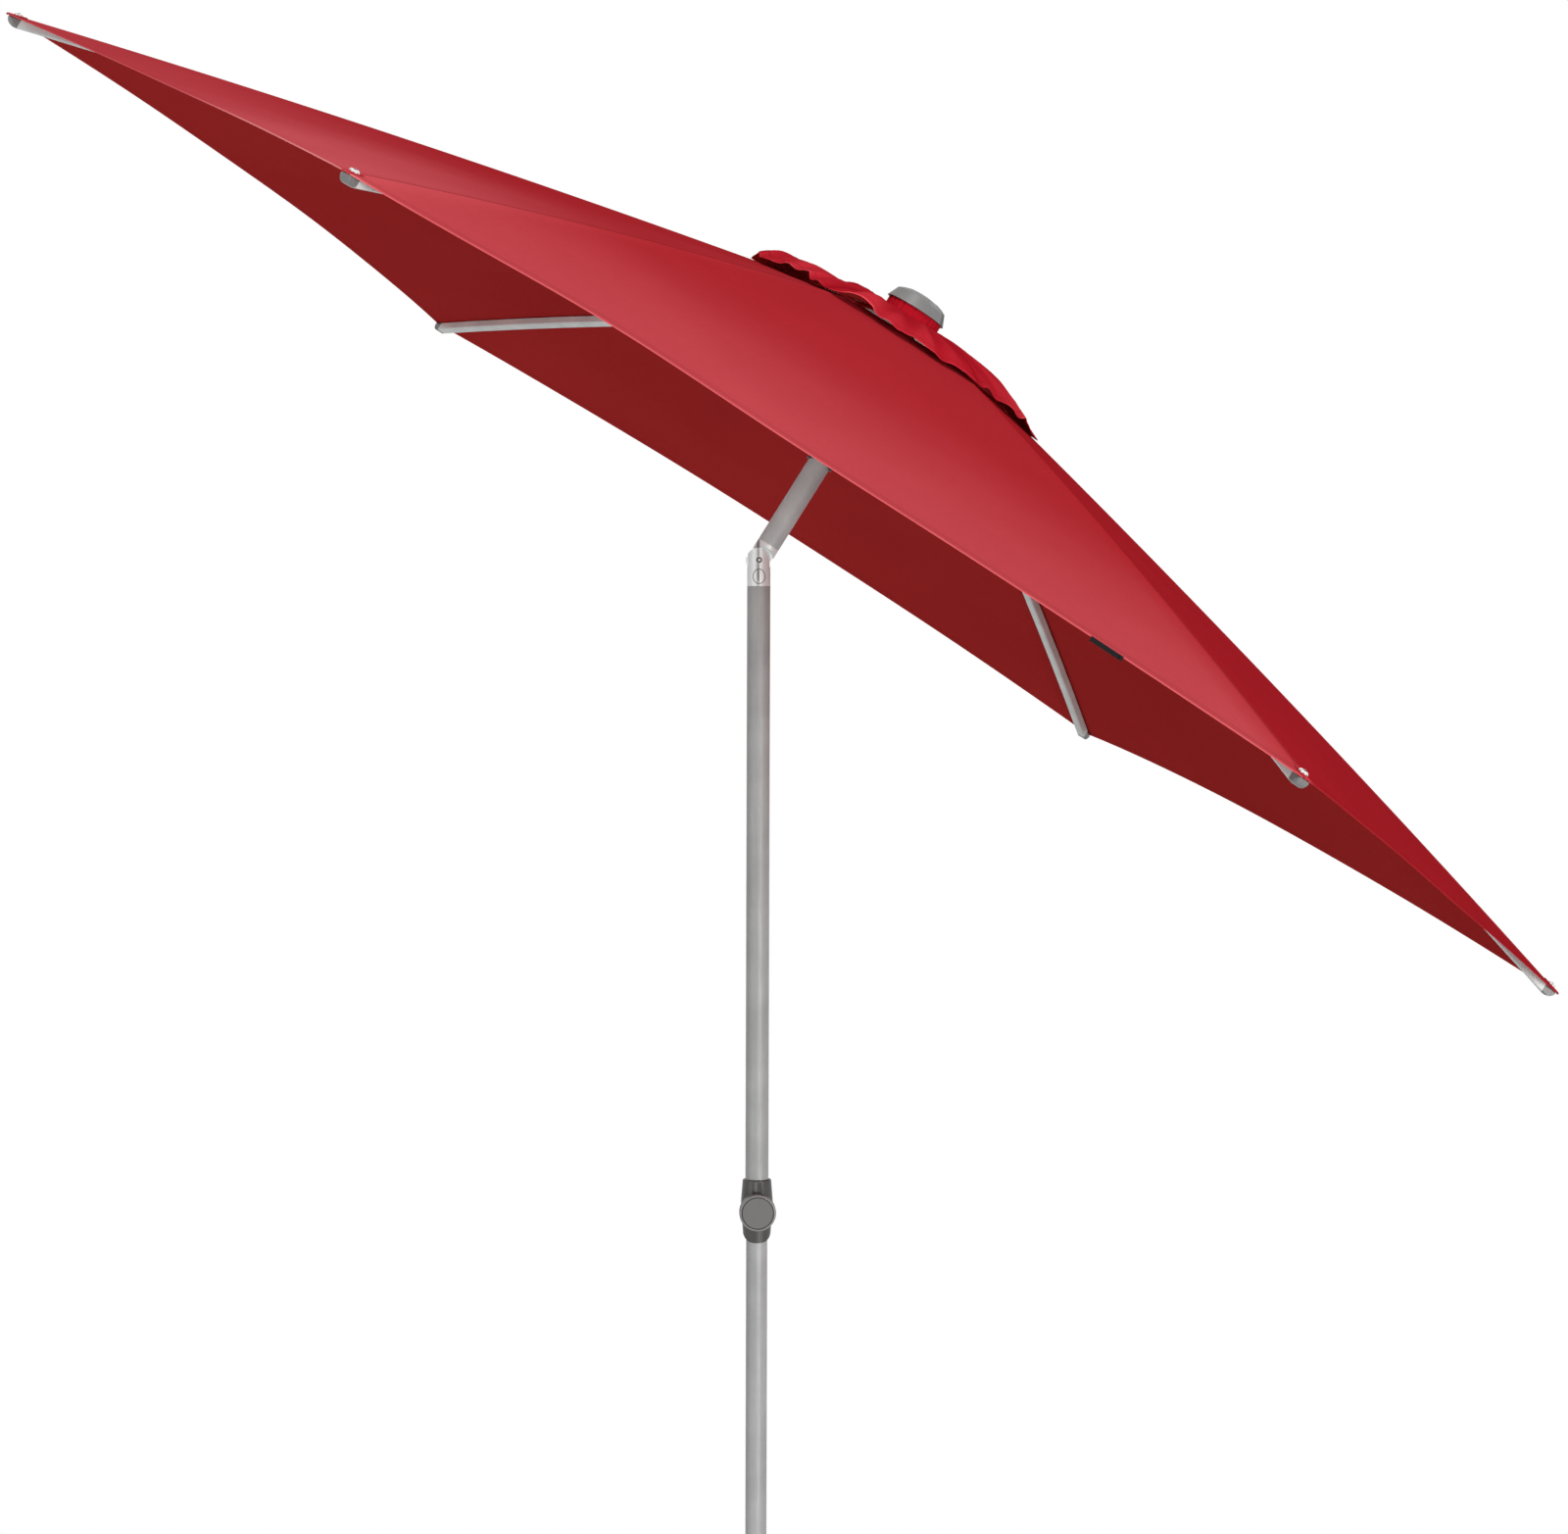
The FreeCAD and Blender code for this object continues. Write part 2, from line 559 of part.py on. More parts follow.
def make_crown_hub():
    """Slotted plastic hub that closes the head pole and carries the cap."""
    low, shoulder, core_top = CROWN_A + HUB_LOW, CROWN_A + HUB_SHOULDER, CROWN_A + HUB_CORE_TOP
    hub = turned([(0, HUB_FLOOR_A), (POLE_R, HUB_FLOOR_A), (POLE_R, low), (HUB_R, low),
                  (HUB_R, shoulder), (HUB_CORE_R, shoulder), (HUB_CORE_R, core_top),
                  (HUB_BOSS_R, core_top), (HUB_BOSS_R, HUB_BOSS_TOP_A), (0, HUB_BOSS_TOP_A)])
    half_w = PLUG_W / 2 + HUB_SLOT_GAP
    slot = block(HINGE_R - HUB_SLOT_DEPTH, HUB_R + OVER, -half_w, half_w, low - OVER, CROWN_A + HUB_SLOT_TOP)
    bore = hinge_pin()
    return hub.cut([around(s, k * RIB_STEP_DEG) for k in range(RIB_COUNT) for s in (slot, bore)])


def hinge_pin():
    return cyl(HINGE_PIN_R, -HINGE_PIN_L / 2, HINGE_PIN_L / 2, Y, V(HINGE_R, 0, HINGE_A))


def runner_pin():
    return cyl(STRUT_PIN_R, -HINGE_PIN_L / 2, HINGE_PIN_L / 2, Y, V(HINGE_R, 0, RUNNER_PIN_A))


def make_crown_cap():
    """Domed cap over the hub, with a shallow bite in its front right."""
    outer = [(r, CAP_RIM_A + h) for r, h in CAP_PROFILE]
    shell = turned([(CAP_RIM_R, CAP_RIM_A)] + outer
                   + [(0, HUB_BOSS_TOP_A), (HUB_BOSS_R + CAP_FIT, HUB_BOSS_TOP_A),
                      (CAP_RIM_R - CAP_WALL, CAP_RIM_A)])
    sunk = turned([(0, CAP_RIM_A)] + [(max(r - CAP_RECESS, 0), a - CAP_RECESS) for r, a in outer])
    bite = cyl(CAP_RECESS_R, CAP_RIM_A, CAP_RIM_A + CAP_RIM_R, at=V(*CAP_RECESS_AT, 0))
    return shell.cut(bite.cut(sunk))


def make_runner():
    """Sliding hub of the struts, with a skirt opened at the front and back."""
    low, skirt_top, flange_top, top = [
        RUNNER_PIN_A + h for h in (RUNNER_LOW, RUNNER_SKIRT_TOP, RUNNER_FLANGE_TOP, RUNNER_TOP)]
    bore_r, skirt_in_r, step = POLE_R + RUNNER_GAP, POLE_R + RUNNER_SKIRT_GAP, skirt_top - RUNNER_STEP
    skirt_r, sleeve_r = skirt_in_r + RUNNER_SKIRT_WALL, bore_r + RUNNER_SLEEVE_WALL
    body = turned([(skirt_in_r, low), (skirt_r, low), (skirt_r, skirt_top), (RUNNER_FLANGE_R, skirt_top),
                   (RUNNER_FLANGE_R, flange_top), (sleeve_r, flange_top), (sleeve_r, top),
                   (bore_r, top), (bore_r, step), (skirt_in_r, step)])
    boss = cyl(CATCH_BOSS_R, bore_r + OVER, CATCH_BOSS_OUT, Y, V(0, 0, CATCH_A))
    body = joined([body, boss])
    slot = block(HINGE_R - RUNNER_SLOT_DEPTH, RUNNER_FLANGE_R + OVER, -STRUT_SLOT / 2, STRUT_SLOT / 2,
                 skirt_top - OVER, flange_top + OVER)
    window = block(-SKIRT_WINDOW_W / 2, SKIRT_WINDOW_W / 2, -skirt_r - OVER, skirt_r + OVER,
                   low - OVER, low + SKIRT_WINDOW_H)
    catch_bore = cyl(CATCH_PIN_R + PIN_GAP, 0, CATCH_BOSS_OUT + OVER, Y, V(0, 0, CATCH_A))
    cuts = [around(s, k * RIB_STEP_DEG) for k in range(RIB_COUNT) for s in (slot, runner_pin())]
    return body.cut(cuts + [window, catch_bore])


def make_runner_catch():
    """Spring plunger of the runner, with its grip."""
    stem = cyl(CATCH_PIN_R, POLE_R + CATCH_TIP_GAP, CATCH_STEM_OUT, Y, V(0, 0, CATCH_A))
    grip = cyl(CATCH_GRIP_R, CATCH_STEM_OUT, CATCH_STEM_OUT + CATCH_GRIP_L, Y, V(0, 0, CATCH_A))
    return joined([stem, grip.makeChamfer(CATCH_CHAMFER, [e for e in grip.Edges if len(e.Vertexes) == 1])])


def make_head_pole():
    tube = ring(POLE_R, POLE_R - POLE_WALL, HEAD_SEAM_A, HUB_FLOOR_A)
    return tube.cut(cyl(CATCH_PIN_R + CATCH_HOLE_GAP, 0, POLE_R + OVER, Y, V(0, 0, CATCH_A)))


def make_tilt_head():
    """Upper knuckle: tongue with its heel, round neck and spigot for the head pole."""
    half = TONGUE_W / 2
    tongue = cyl(TONGUE_R, -half, half, Y)
    web = block(-TONGUE_R, TONGUE_R, -half, half, 0, HEAD_SEAM_A)
    heel = cyl(HEEL_R, -half, half, Y).common(plate(
        [(0, 0)] + [(2 * HEEL_R * math.cos(math.radians(a)), 2 * HEEL_R * math.sin(math.radians(a)))
                    for a in (HEEL_FROM_DEG, (HEEL_FROM_DEG + HEEL_TO_DEG) / 2, HEEL_TO_DEG)],
        -half, half))
    shift = math.radians(SKIRT_CUT_DIR_DEG)
    cut_at = V(SKIRT_CUT_SHIFT * math.cos(shift), 0, SKIRT_CUT_SHIFT * math.sin(shift))
    cut_r = EAR_R + SKIRT_CUT_GAP
    skirt = cyl(POLE_R, 0, HEAD_SEAM_A).cut(cyl(cut_r, -POLE_R - OVER, POLE_R + OVER, Y, cut_at))
    spigot = cyl(SPIGOT_R, HEAD_SEAM_A - OVER, HEAD_SEAM_A + SPIGOT_L)
    head = joined([tongue, web, heel, skirt, spigot])
    return head.cut(cyl(TILT_PIN_R + PIN_GAP, -POLE_R, POLE_R, Y))


def make_tilt_base():
    """Lower knuckle: two rounded ears, the button's pocket and a spigot for the upper pole."""
    half, past = TONGUE_W / 2 + TONGUE_GAP, POLE_R + OVER
    barrel = cyl(POLE_R, -KNUCKLE_SEAT, EAR_R)
    keep = cyl(EAR_R, -past, past, Y).fuse(block(-past, past, -past, past, -KNUCKLE_SEAT - OVER, 0))
    spigot = cyl(SPIGOT_R, -KNUCKLE_SEAT - SPIGOT_L, -KNUCKLE_SEAT + OVER)
    body = joined([barrel.common(keep), spigot])
    slot = block(-past, past, -half, half, 0, EAR_R + OVER)
    floor = cyl(HEEL_R + HEEL_GAP, -half, half, Y)
    spots = [cyl(TILT_HEAD_R + TILT_SPOT_GAP, a, b, Y) for a, b in
             ((-past, TILT_HEAD_T - TILT_HEAD_OUT), (TILT_HEAD_OUT - TILT_HEAD_T, past))]
    pocket = button_oval(BUTTON_GAP, -past, -BUTTON_POCKET)
    stem = cyl(BUTTON_STEM_R + PIN_GAP, -BUTTON_POCKET - OVER, BUTTON_STEM_END + BUTTON_TRAVEL, Y,
               V(0, 0, -BUTTON_DROP))
    return body.cut([slot, floor, cyl(TILT_PIN_R, -POLE_R, POLE_R, Y), pocket, stem] + spots)


def button_oval(grow, y0, y1):
    oval = Part.Ellipse(V(0, 0, 0), BUTTON_HALF_H + grow, BUTTON_HALF_W + grow).toShape()
    face = Part.Face(Part.Wire(oval))
    face.rotate(V(0, 0, 0), Z, 90)
    face.rotate(V(0, 0, 0), X, 90)
    face.translate(V(0, y0, -BUTTON_DROP))
    return face.extrude(V(0, y1 - y0, 0))


def make_tilt_button():
    face = button_oval(0, -POLE_R - OVER, -BUTTON_BACK).common(
        cyl(POLE_R + BUTTON_PROUD, -KNUCKLE_SEAT, 0))
    stem = cyl(BUTTON_STEM_R, -BUTTON_BACK - OVER, BUTTON_STEM_END, Y, V(0, 0, -BUTTON_DROP))
    return joined([face, stem])


def make_button_spring():
    """Coil between the back of the button and the floor of its pocket."""
    free = BUTTON_BACK - BUTTON_POCKET - 2 * SPRING_WIRE_R - 2 * SPRING_SEAT
    coil = Part.makeHelix(free / SPRING_TURNS, free, SPRING_R)
    wire = Part.Wire(Part.makeCircle(SPRING_WIRE_R, V(SPRING_R, 0, 0), Y))
    spring = Part.Wire(coil).makePipeShell([wire], True, True)
    spring.rotate(V(0, 0, 0), X, -90)
    spring.translate(V(0, -BUTTON_BACK + SPRING_WIRE_R + SPRING_SEAT, -BUTTON_DROP))
    return spring


def make_tilt_pin():
    """Rivet through the ears, a low head at each end."""
    shank = cyl(TILT_PIN_R, -TILT_HEAD_OUT, TILT_HEAD_OUT, Y)
    heads = [cyl(TILT_HEAD_R, a, b, Y) for a, b in
             ((-TILT_HEAD_OUT, TILT_HEAD_T - TILT_HEAD_OUT), (TILT_HEAD_OUT - TILT_HEAD_T, TILT_HEAD_OUT))]
    dimples = [cyl(TILT_DIMPLE_R, a, b, Y) for a, b in
               ((-TILT_HEAD_OUT - OVER, TILT_DIMPLE - TILT_HEAD_OUT),
                (TILT_HEAD_OUT - TILT_DIMPLE, TILT_HEAD_OUT + OVER))]
    return joined([shank] + heads).cut(dimples)


def make_clamp_collar():
    """Moulded collar of the height clamp: tapered shell, screw boss and twin bores."""
    outer = [(r, KNOB_Z + h) for r, h in COLLAR_PROFILE]
    top, low = KNOB_Z + COLLAR_TOP, KNOB_Z + COLLAR_LOW
    shell = turned([(0, top)] + outer + [(0, low)])
    foot = [(x, KNOB_Z + h) for x, h in COLLAR_FOOT]
    wide, tall = COLLAR_BOSS_OUT, top + OVER
    front_view = [(wide, tall), (wide, foot[0][1])] + foot
    front_view += [(-x, z) for x, z in reversed(front_view)]
    boss = cyl(COLLAR_BOSS_R, 0, COLLAR_BOSS_OUT, OUT_FRONT, V(0, 0, KNOB_Z))
    body = joined([shell.common(plate(front_view, -wide, wide)), boss])
    groove = cyl(COLLAR_GROOVE_R, KNOB_Z + COLLAR_GROOVE_FROM, top - COLLAR_LIP,
                 at=V(0, -COLLAR_GROOVE_OUT, 0))
    upper = cyl(POLE_R + SPIGOT_GAP, UPPER_LOW_Z, top + OVER)
    lower = cyl(LOWER_BORE_R, low - OVER, UPPER_LOW_Z + OVER)
    return body.cut([groove, upper, lower] + clamp_bores(KNOB_Z, LOWER_BORE_R, COLLAR_BOSS_OUT))


def clamp_bores(z, pad_from, out):
    """Screw hole and pad pocket of a clamp at height z, opening to the front."""
    at = V(0, 0, z)
    return [cyl(SCREW_R + SCREW_GAP, 0, out + OVER, OUT_FRONT, at),
            cyl(PAD_R + PAD_POCKET_GAP, 0, pad_from + PAD_L + PAD_TRAVEL, OUT_FRONT, at)]


def clamp_pad(z, pad_from):
    return cyl(PAD_R, pad_from, pad_from + PAD_L, OUT_FRONT, V(0, 0, z))


def clamp_screw(z, pad_from, back):
    return cyl(SCREW_R, pad_from + PAD_L, back + KNOB_SCREW_IN, OUT_FRONT, V(0, 0, z))


def make_clamp_knob():
    """Round knob with a turned groove that sets off its face disc."""
    at = V(0, 0, KNOB_Z)
    body = cyl(KNOB_R, KNOB_BACK, KNOB_BACK + KNOB_T, OUT_FRONT, at)
    front = [e for e in body.Edges if len(e.Vertexes) == 1
             and abs(e.Vertexes[0].Y + KNOB_BACK + KNOB_T) < NEAR]
    body = body.makeFillet(KNOB_EDGE, front)
    groove = ring(KNOB_DISC_R + KNOB_GROOVE_W, KNOB_DISC_R, KNOB_BACK + KNOB_T - KNOB_GROOVE_DEPTH,
                  KNOB_BACK + KNOB_T + OVER, OUT_FRONT, at)
    return body.cut([groove, cyl(SCREW_R, 0, KNOB_BACK + KNOB_SCREW_IN, OUT_FRONT, at)])


def make_lower_pole():
    return ring(LOWER_R, LOWER_R - LOWER_WALL, PLATE_TOP_Z + FOOT_CAP_T, LOWER_TOP_Z)


def make_pole_guide():
    """Plastic plug in the top of the lower pole that runs inside the upper one."""
    plug = cyl(LOWER_R - LOWER_WALL - PLUG_GAP, LOWER_TOP_Z - PLUG_L, LOWER_TOP_Z + OVER)
    head = cyl(POLE_R - POLE_WALL - GUIDE_GAP, LOWER_TOP_Z, LOWER_TOP_Z + GUIDE_H)
    return joined([plug, head.makeChamfer(GUIDE_CHAMFER, [head.Edges[0]])])


def make_pole_foot():
    cap_top = PLATE_TOP_Z + FOOT_CAP_T
    plug = cyl(LOWER_R - LOWER_WALL - PLUG_GAP, PLATE_TOP_Z, cap_top + PLUG_L)
    return joined([cyl(LOWER_R, PLATE_TOP_Z, cap_top), plug])


def foot_pads():
    """The rubber pads under the rim."""
    pad = cyl(FOOT_R, 0, DISC_LOW_Z + FOOT_POCKET, at=V(DISC_R - FOOT_INSET, 0, 0))
    return [around(pad, k * 360.0 / FOOT_COUNT) for k in range(FOOT_COUNT)]


def make_base_disc():
    """Cast weight with pockets for its feet and a counterbore for the bolt."""
    rim_top = DISC_LOW_Z + DISC_RIM_H
    disc = turned([(0, DISC_LOW_Z), (DISC_R - DISC_EDGE, DISC_LOW_Z), (DISC_R, DISC_LOW_Z + DISC_EDGE),
                   (DISC_R, rim_top), (DISC_R - DISC_SHOULDER, rim_top + DISC_SHOULDER_H)]
                  + [(r, DISC_TOP_Z - drop) for r, drop in DISC_CROWN] + [(0, DISC_TOP_Z)])
    return disc.cut(foot_pads() + [cyl(BOLT_POCKET_R, 0, BOLT_SEAT_Z),
                                   cyl(BOLT_HOLE_R, 0, DISC_TOP_Z + OVER)])


def make_base_feet():
    """Rubber pads in the pockets, and a cover pad under the bolt."""
    return Part.makeCompound(foot_pads() + [cyl(CENTRE_FOOT_R, 0, DISC_LOW_Z)])


def make_base_bolt():
    """Hex bolt and washer that pull the socket tube down on to the disc."""
    r = BOLT_HEAD_AF / math.sqrt(3)
    head_top = BOLT_SEAT_Z - WASHER_T
    angles = [2 * math.pi * k / BOLT_SIDES for k in range(BOLT_SIDES)]
    corners = [V(r * math.cos(a), r * math.sin(a), head_top - BOLT_HEAD_H) for a in angles]
    head = Part.Face(Part.makePolygon(corners + corners[:1])).extrude(V(0, 0, BOLT_HEAD_H))
    shank = cyl(BOLT_R, head_top - OVER, PLATE_TOP_Z)
    return joined([head, shank, cyl(WASHER_R, head_top, BOLT_SEAT_Z)])


def make_stand_tube():
    """Socket tube on its welded plate, with the boss of the clamp screw."""
    inner = STAND_R - STAND_WALL
    tube = ring(STAND_R, inner, DISC_TOP_Z, STAND_TOP_Z)
    floor = cyl(STAND_PLATE_R, DISC_TOP_Z, PLATE_TOP_Z)
    boss = cyl(STAND_BOSS_R, inner + OVER, STAND_BOSS_OUT, OUT_FRONT, V(0, 0, STAND_KNOB_Z))
    body = joined([tube, floor, boss])
    return body.cut([cyl(BOLT_R, 0, PLATE_TOP_Z + OVER)]
                    + clamp_bores(STAND_KNOB_Z, SLEEVE_R, STAND_BOSS_OUT))


def make_stand_sleeve():
    """Split reducer between the socket tube and the pole."""
    top = STAND_TOP_Z + SLEEVE_FLANGE_H
    sleeve = joined([ring(SLEEVE_R, LOWER_BORE_R, SLEEVE_LOW_Z, STAND_TOP_Z + OVER),
                     ring(STAND_R, LOWER_BORE_R, STAND_TOP_Z, top)])
    return sleeve.cut(block(-SLEEVE_SPLIT / 2, SLEEVE_SPLIT / 2, 0, STAND_R + OVER,
                            SLEEVE_LOW_Z - OVER, top + OVER))


def make_stand_knob():
    """Lobed hand knob of the stand's clamp."""
    at, front = V(0, 0, STAND_KNOB_Z), STAND_KNOB_BACK + STAND_KNOB_T
    body = cyl(STAND_KNOB_R, STAND_KNOB_BACK, front, OUT_FRONT, at)
    for k in range(STAND_LOBES):
        a = 2 * math.pi * k / STAND_LOBES
        side = at + V(math.cos(a), 0, math.sin(a)) * (STAND_KNOB_R + STAND_LOBE_R / 2)
        body = body.cut(cyl(STAND_LOBE_R, STAND_KNOB_BACK - OVER, front + OVER, OUT_FRONT, side))
    hub = cyl(STAND_KNOB_STEM_R, STAND_KNOB_STEM_OUT, STAND_KNOB_BACK + OVER, OUT_FRONT, at)
    return joined([body, hub]).cut(cyl(SCREW_R, 0, STAND_KNOB_BACK + KNOB_SCREW_IN, OUT_FRONT, at))


def make_upper_pole():
    return ring(POLE_R, POLE_R - POLE_WALL, UPPER_LOW_Z, PIVOT_Z - KNUCKLE_SEAT)


def make_hood_neck():
    """Cloth band gathered round the hub under the cap."""
    return ring(NECK_R, NECK_R - CLOTH_T, CROWN_A + NECK_LOW, CROWN_A + NECK_HIGH)


def on_panel(x, y):
    """A point of the canopy's outer face, y towards the middle of the panel."""
    return V(x, y, rib_line(x + y * SIN_HALF / COS_HALF))


def make_edge_label():
    """Blank woven label that hangs from the hem of the front panel."""
    hem = canopy_hem()
    at, along = hem.value(LABEL_AT), hem.tangent(LABEL_AT)[0]
    out = V(along.y, -along.x, 0).normalize()
    if out.x < 0:
        out = -out
    p = on_panel(at.x, at.y)
    u = (on_panel(at.x + along.x, at.y + along.y) - p).normalize()
    v = out.cross(u)
    v = v if v.z > 0 else -v
    label = block(-LABEL_L / 2, LABEL_L / 2, -LABEL_W, 0, CLOTH_GAP, CLOTH_GAP + LABEL_T)
    label.transformShape(FreeCAD.Matrix(u.x, v.x, out.x, p.x, u.y, v.y, out.y, p.y,
                                        u.z, v.z, out.z, p.z))
    return mirrored(label)


def export(node, shape):
    shape.exportStep("parts/" + node + ".step")


os.makedirs("parts", exist_ok=True)

rib_pieces = {"rib": make_rib(), "rib_fittings": make_rib_fittings(), "strut": make_strut(),
              "canopy_gore": make_canopy_gore(), "hood_gore": make_hood_gore()}
for number in range(RIB_COUNT):
    for piece, shape in rib_pieces.items():
        export(f"{piece}_{number}", leaned(around(shape, number * RIB_STEP_DEG)))
turns = [k * RIB_STEP_DEG for k in range(RIB_COUNT)]
head_pieces = {
    "edge_label": around(make_edge_label(), LABEL_RIB * RIB_STEP_DEG),
    "hood_neck": make_hood_neck(),
    "crown_hub": make_crown_hub(),
    "crown_cap": make_crown_cap(),
    "rib_pins": Part.makeCompound([around(hinge_pin(), t) for t in turns]),
    "strut_pins": Part.makeCompound([around(runner_pin(), t) for t in turns]),
    "runner": make_runner(),
    "runner_catch": make_runner_catch(),
    "head_pole": make_head_pole(),
    "tilt_head": make_tilt_head(),
}
for node, shape in head_pieces.items():
    export(node, leaned(shape))
knuckle_pieces = {
    "tilt_base": make_tilt_base(),
    "tilt_button": make_tilt_button(),
    "button_spring": make_button_spring(),
    "tilt_pin": make_tilt_pin(),
}
for node, shape in knuckle_pieces.items():
    export(node, at_pivot(shape))

row_pieces = {
    "upper_pole": make_upper_pole(),
    "clamp_collar": make_clamp_collar(),
    "clamp_knob": make_clamp_knob(),
    "clamp_screw": clamp_screw(KNOB_Z, LOWER_BORE_R, KNOB_BACK),
    "clamp_pad": clamp_pad(KNOB_Z, LOWER_BORE_R),
    "lower_pole": make_lower_pole(),
    "lower_pole_guide": make_pole_guide(),
    "lower_pole_foot": make_pole_foot(),
    "stand_tube": make_stand_tube(),
    "stand_sleeve": make_stand_sleeve(),
    "stand_knob": make_stand_knob(),
    "stand_screw": clamp_screw(STAND_KNOB_Z, SLEEVE_R, STAND_KNOB_BACK),
    "stand_pad": clamp_pad(STAND_KNOB_Z, SLEEVE_R),
    "base_disc": make_base_disc(),
    "base_feet": make_base_feet(),
    "base_bolt": make_base_bolt(),
}
for node, shape in row_pieces.items():
    export(node, shape)
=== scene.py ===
import json
import math

import bpy
import numpy as np
from mathutils import Matrix, Vector


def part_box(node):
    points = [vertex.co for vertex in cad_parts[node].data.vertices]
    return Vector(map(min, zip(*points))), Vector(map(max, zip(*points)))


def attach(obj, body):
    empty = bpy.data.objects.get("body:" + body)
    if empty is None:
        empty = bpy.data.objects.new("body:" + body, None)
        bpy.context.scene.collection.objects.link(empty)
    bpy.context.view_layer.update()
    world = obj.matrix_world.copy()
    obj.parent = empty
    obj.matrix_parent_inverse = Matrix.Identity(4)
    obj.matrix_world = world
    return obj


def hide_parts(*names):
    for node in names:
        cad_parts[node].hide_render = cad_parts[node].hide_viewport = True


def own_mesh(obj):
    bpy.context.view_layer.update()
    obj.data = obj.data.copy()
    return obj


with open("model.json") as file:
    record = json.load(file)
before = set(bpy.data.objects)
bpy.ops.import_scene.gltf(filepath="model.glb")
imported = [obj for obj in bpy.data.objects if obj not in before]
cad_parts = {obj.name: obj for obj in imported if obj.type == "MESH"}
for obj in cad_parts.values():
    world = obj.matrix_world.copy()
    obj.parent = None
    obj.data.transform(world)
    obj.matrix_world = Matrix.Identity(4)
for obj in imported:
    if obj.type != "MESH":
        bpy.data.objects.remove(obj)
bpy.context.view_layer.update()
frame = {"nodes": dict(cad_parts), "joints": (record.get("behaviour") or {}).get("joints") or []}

# ---- sizes, in metres; the cloth follows the same lines as its solids ----
RIBS = 6
TIP_R = 1.5  # of the canopy's corners, from the head pole
TIP_A = 0.100  # height of the corners over the tilt's pivot, along the head pole
SLOPE = math.tan(math.radians(13.75))
BOW = 0.014  # how far a rib's middle stands over a straight line
HEM_DEPTH = 0.070  # how far the middle of a hem curves in
HEM_FULLNESS = 0.375  # how flat that curve is at its middle
TIP_TAB = 0.003  # cloth past the corner
CLOTH_T = 0.0012
VENT_R = 0.200
STRAP_IN_R = 0.054
HOOD_R = 0.283
NECK_R = 0.047
NECK_LOW, NECK_HIGH = -0.0074, 0.0140  # ends of the neck, from the crown
WRAP_GAP = 0.0003  # by which the gathered neck and the hood's inner edge stand outside NECK_R
HALF = math.radians(180.0 / RIBS)
ACROSS = math.cos(HALF) * math.sin(HALF)  # from the rib to the middle of the panel, as a share of r
CROWN_A = TIP_A + TIP_R * SLOPE

joints = {j["name"]: j for j in frame["joints"]}
PIVOT = np.array(joints["tilt"]["pos_m"], float)
UP = np.array(joints["runner_slide"]["axis"], float)
BACK = np.array((0.0, 1.0, 0.0))
SIDE = np.cross(BACK, UP)


def head_points(local, turn):
    """Points given radially, tangentially and along the head pole, for the rib at that turn."""
    c, s = math.cos(turn), math.sin(turn)
    x, y, a = local[..., 0], local[..., 1], local[..., 2]
    return (PIVOT + (x * c - y * s)[..., None] * SIDE + (x * s + y * c)[..., None] * BACK
            + a[..., None] * UP)


def smooth(t):
    """0 below 0 and 1 above 1, with a soft rise between."""
    t = np.clip(t, 0.0, 1.0)
    return t * t * (3 - 2 * t)


def rib_line(r):
    """Height of the cloth over a rib, along the head pole from the tilt's pivot."""
    t = r / TIP_R
    return TIP_A + (TIP_R - r) * SLOPE + 4 * BOW * t * (1 - t)


def add_object(name, data):
    """A new object in the scene."""
    obj = bpy.data.objects.new(name, data)
    bpy.context.scene.collection.objects.link(obj)
    return obj


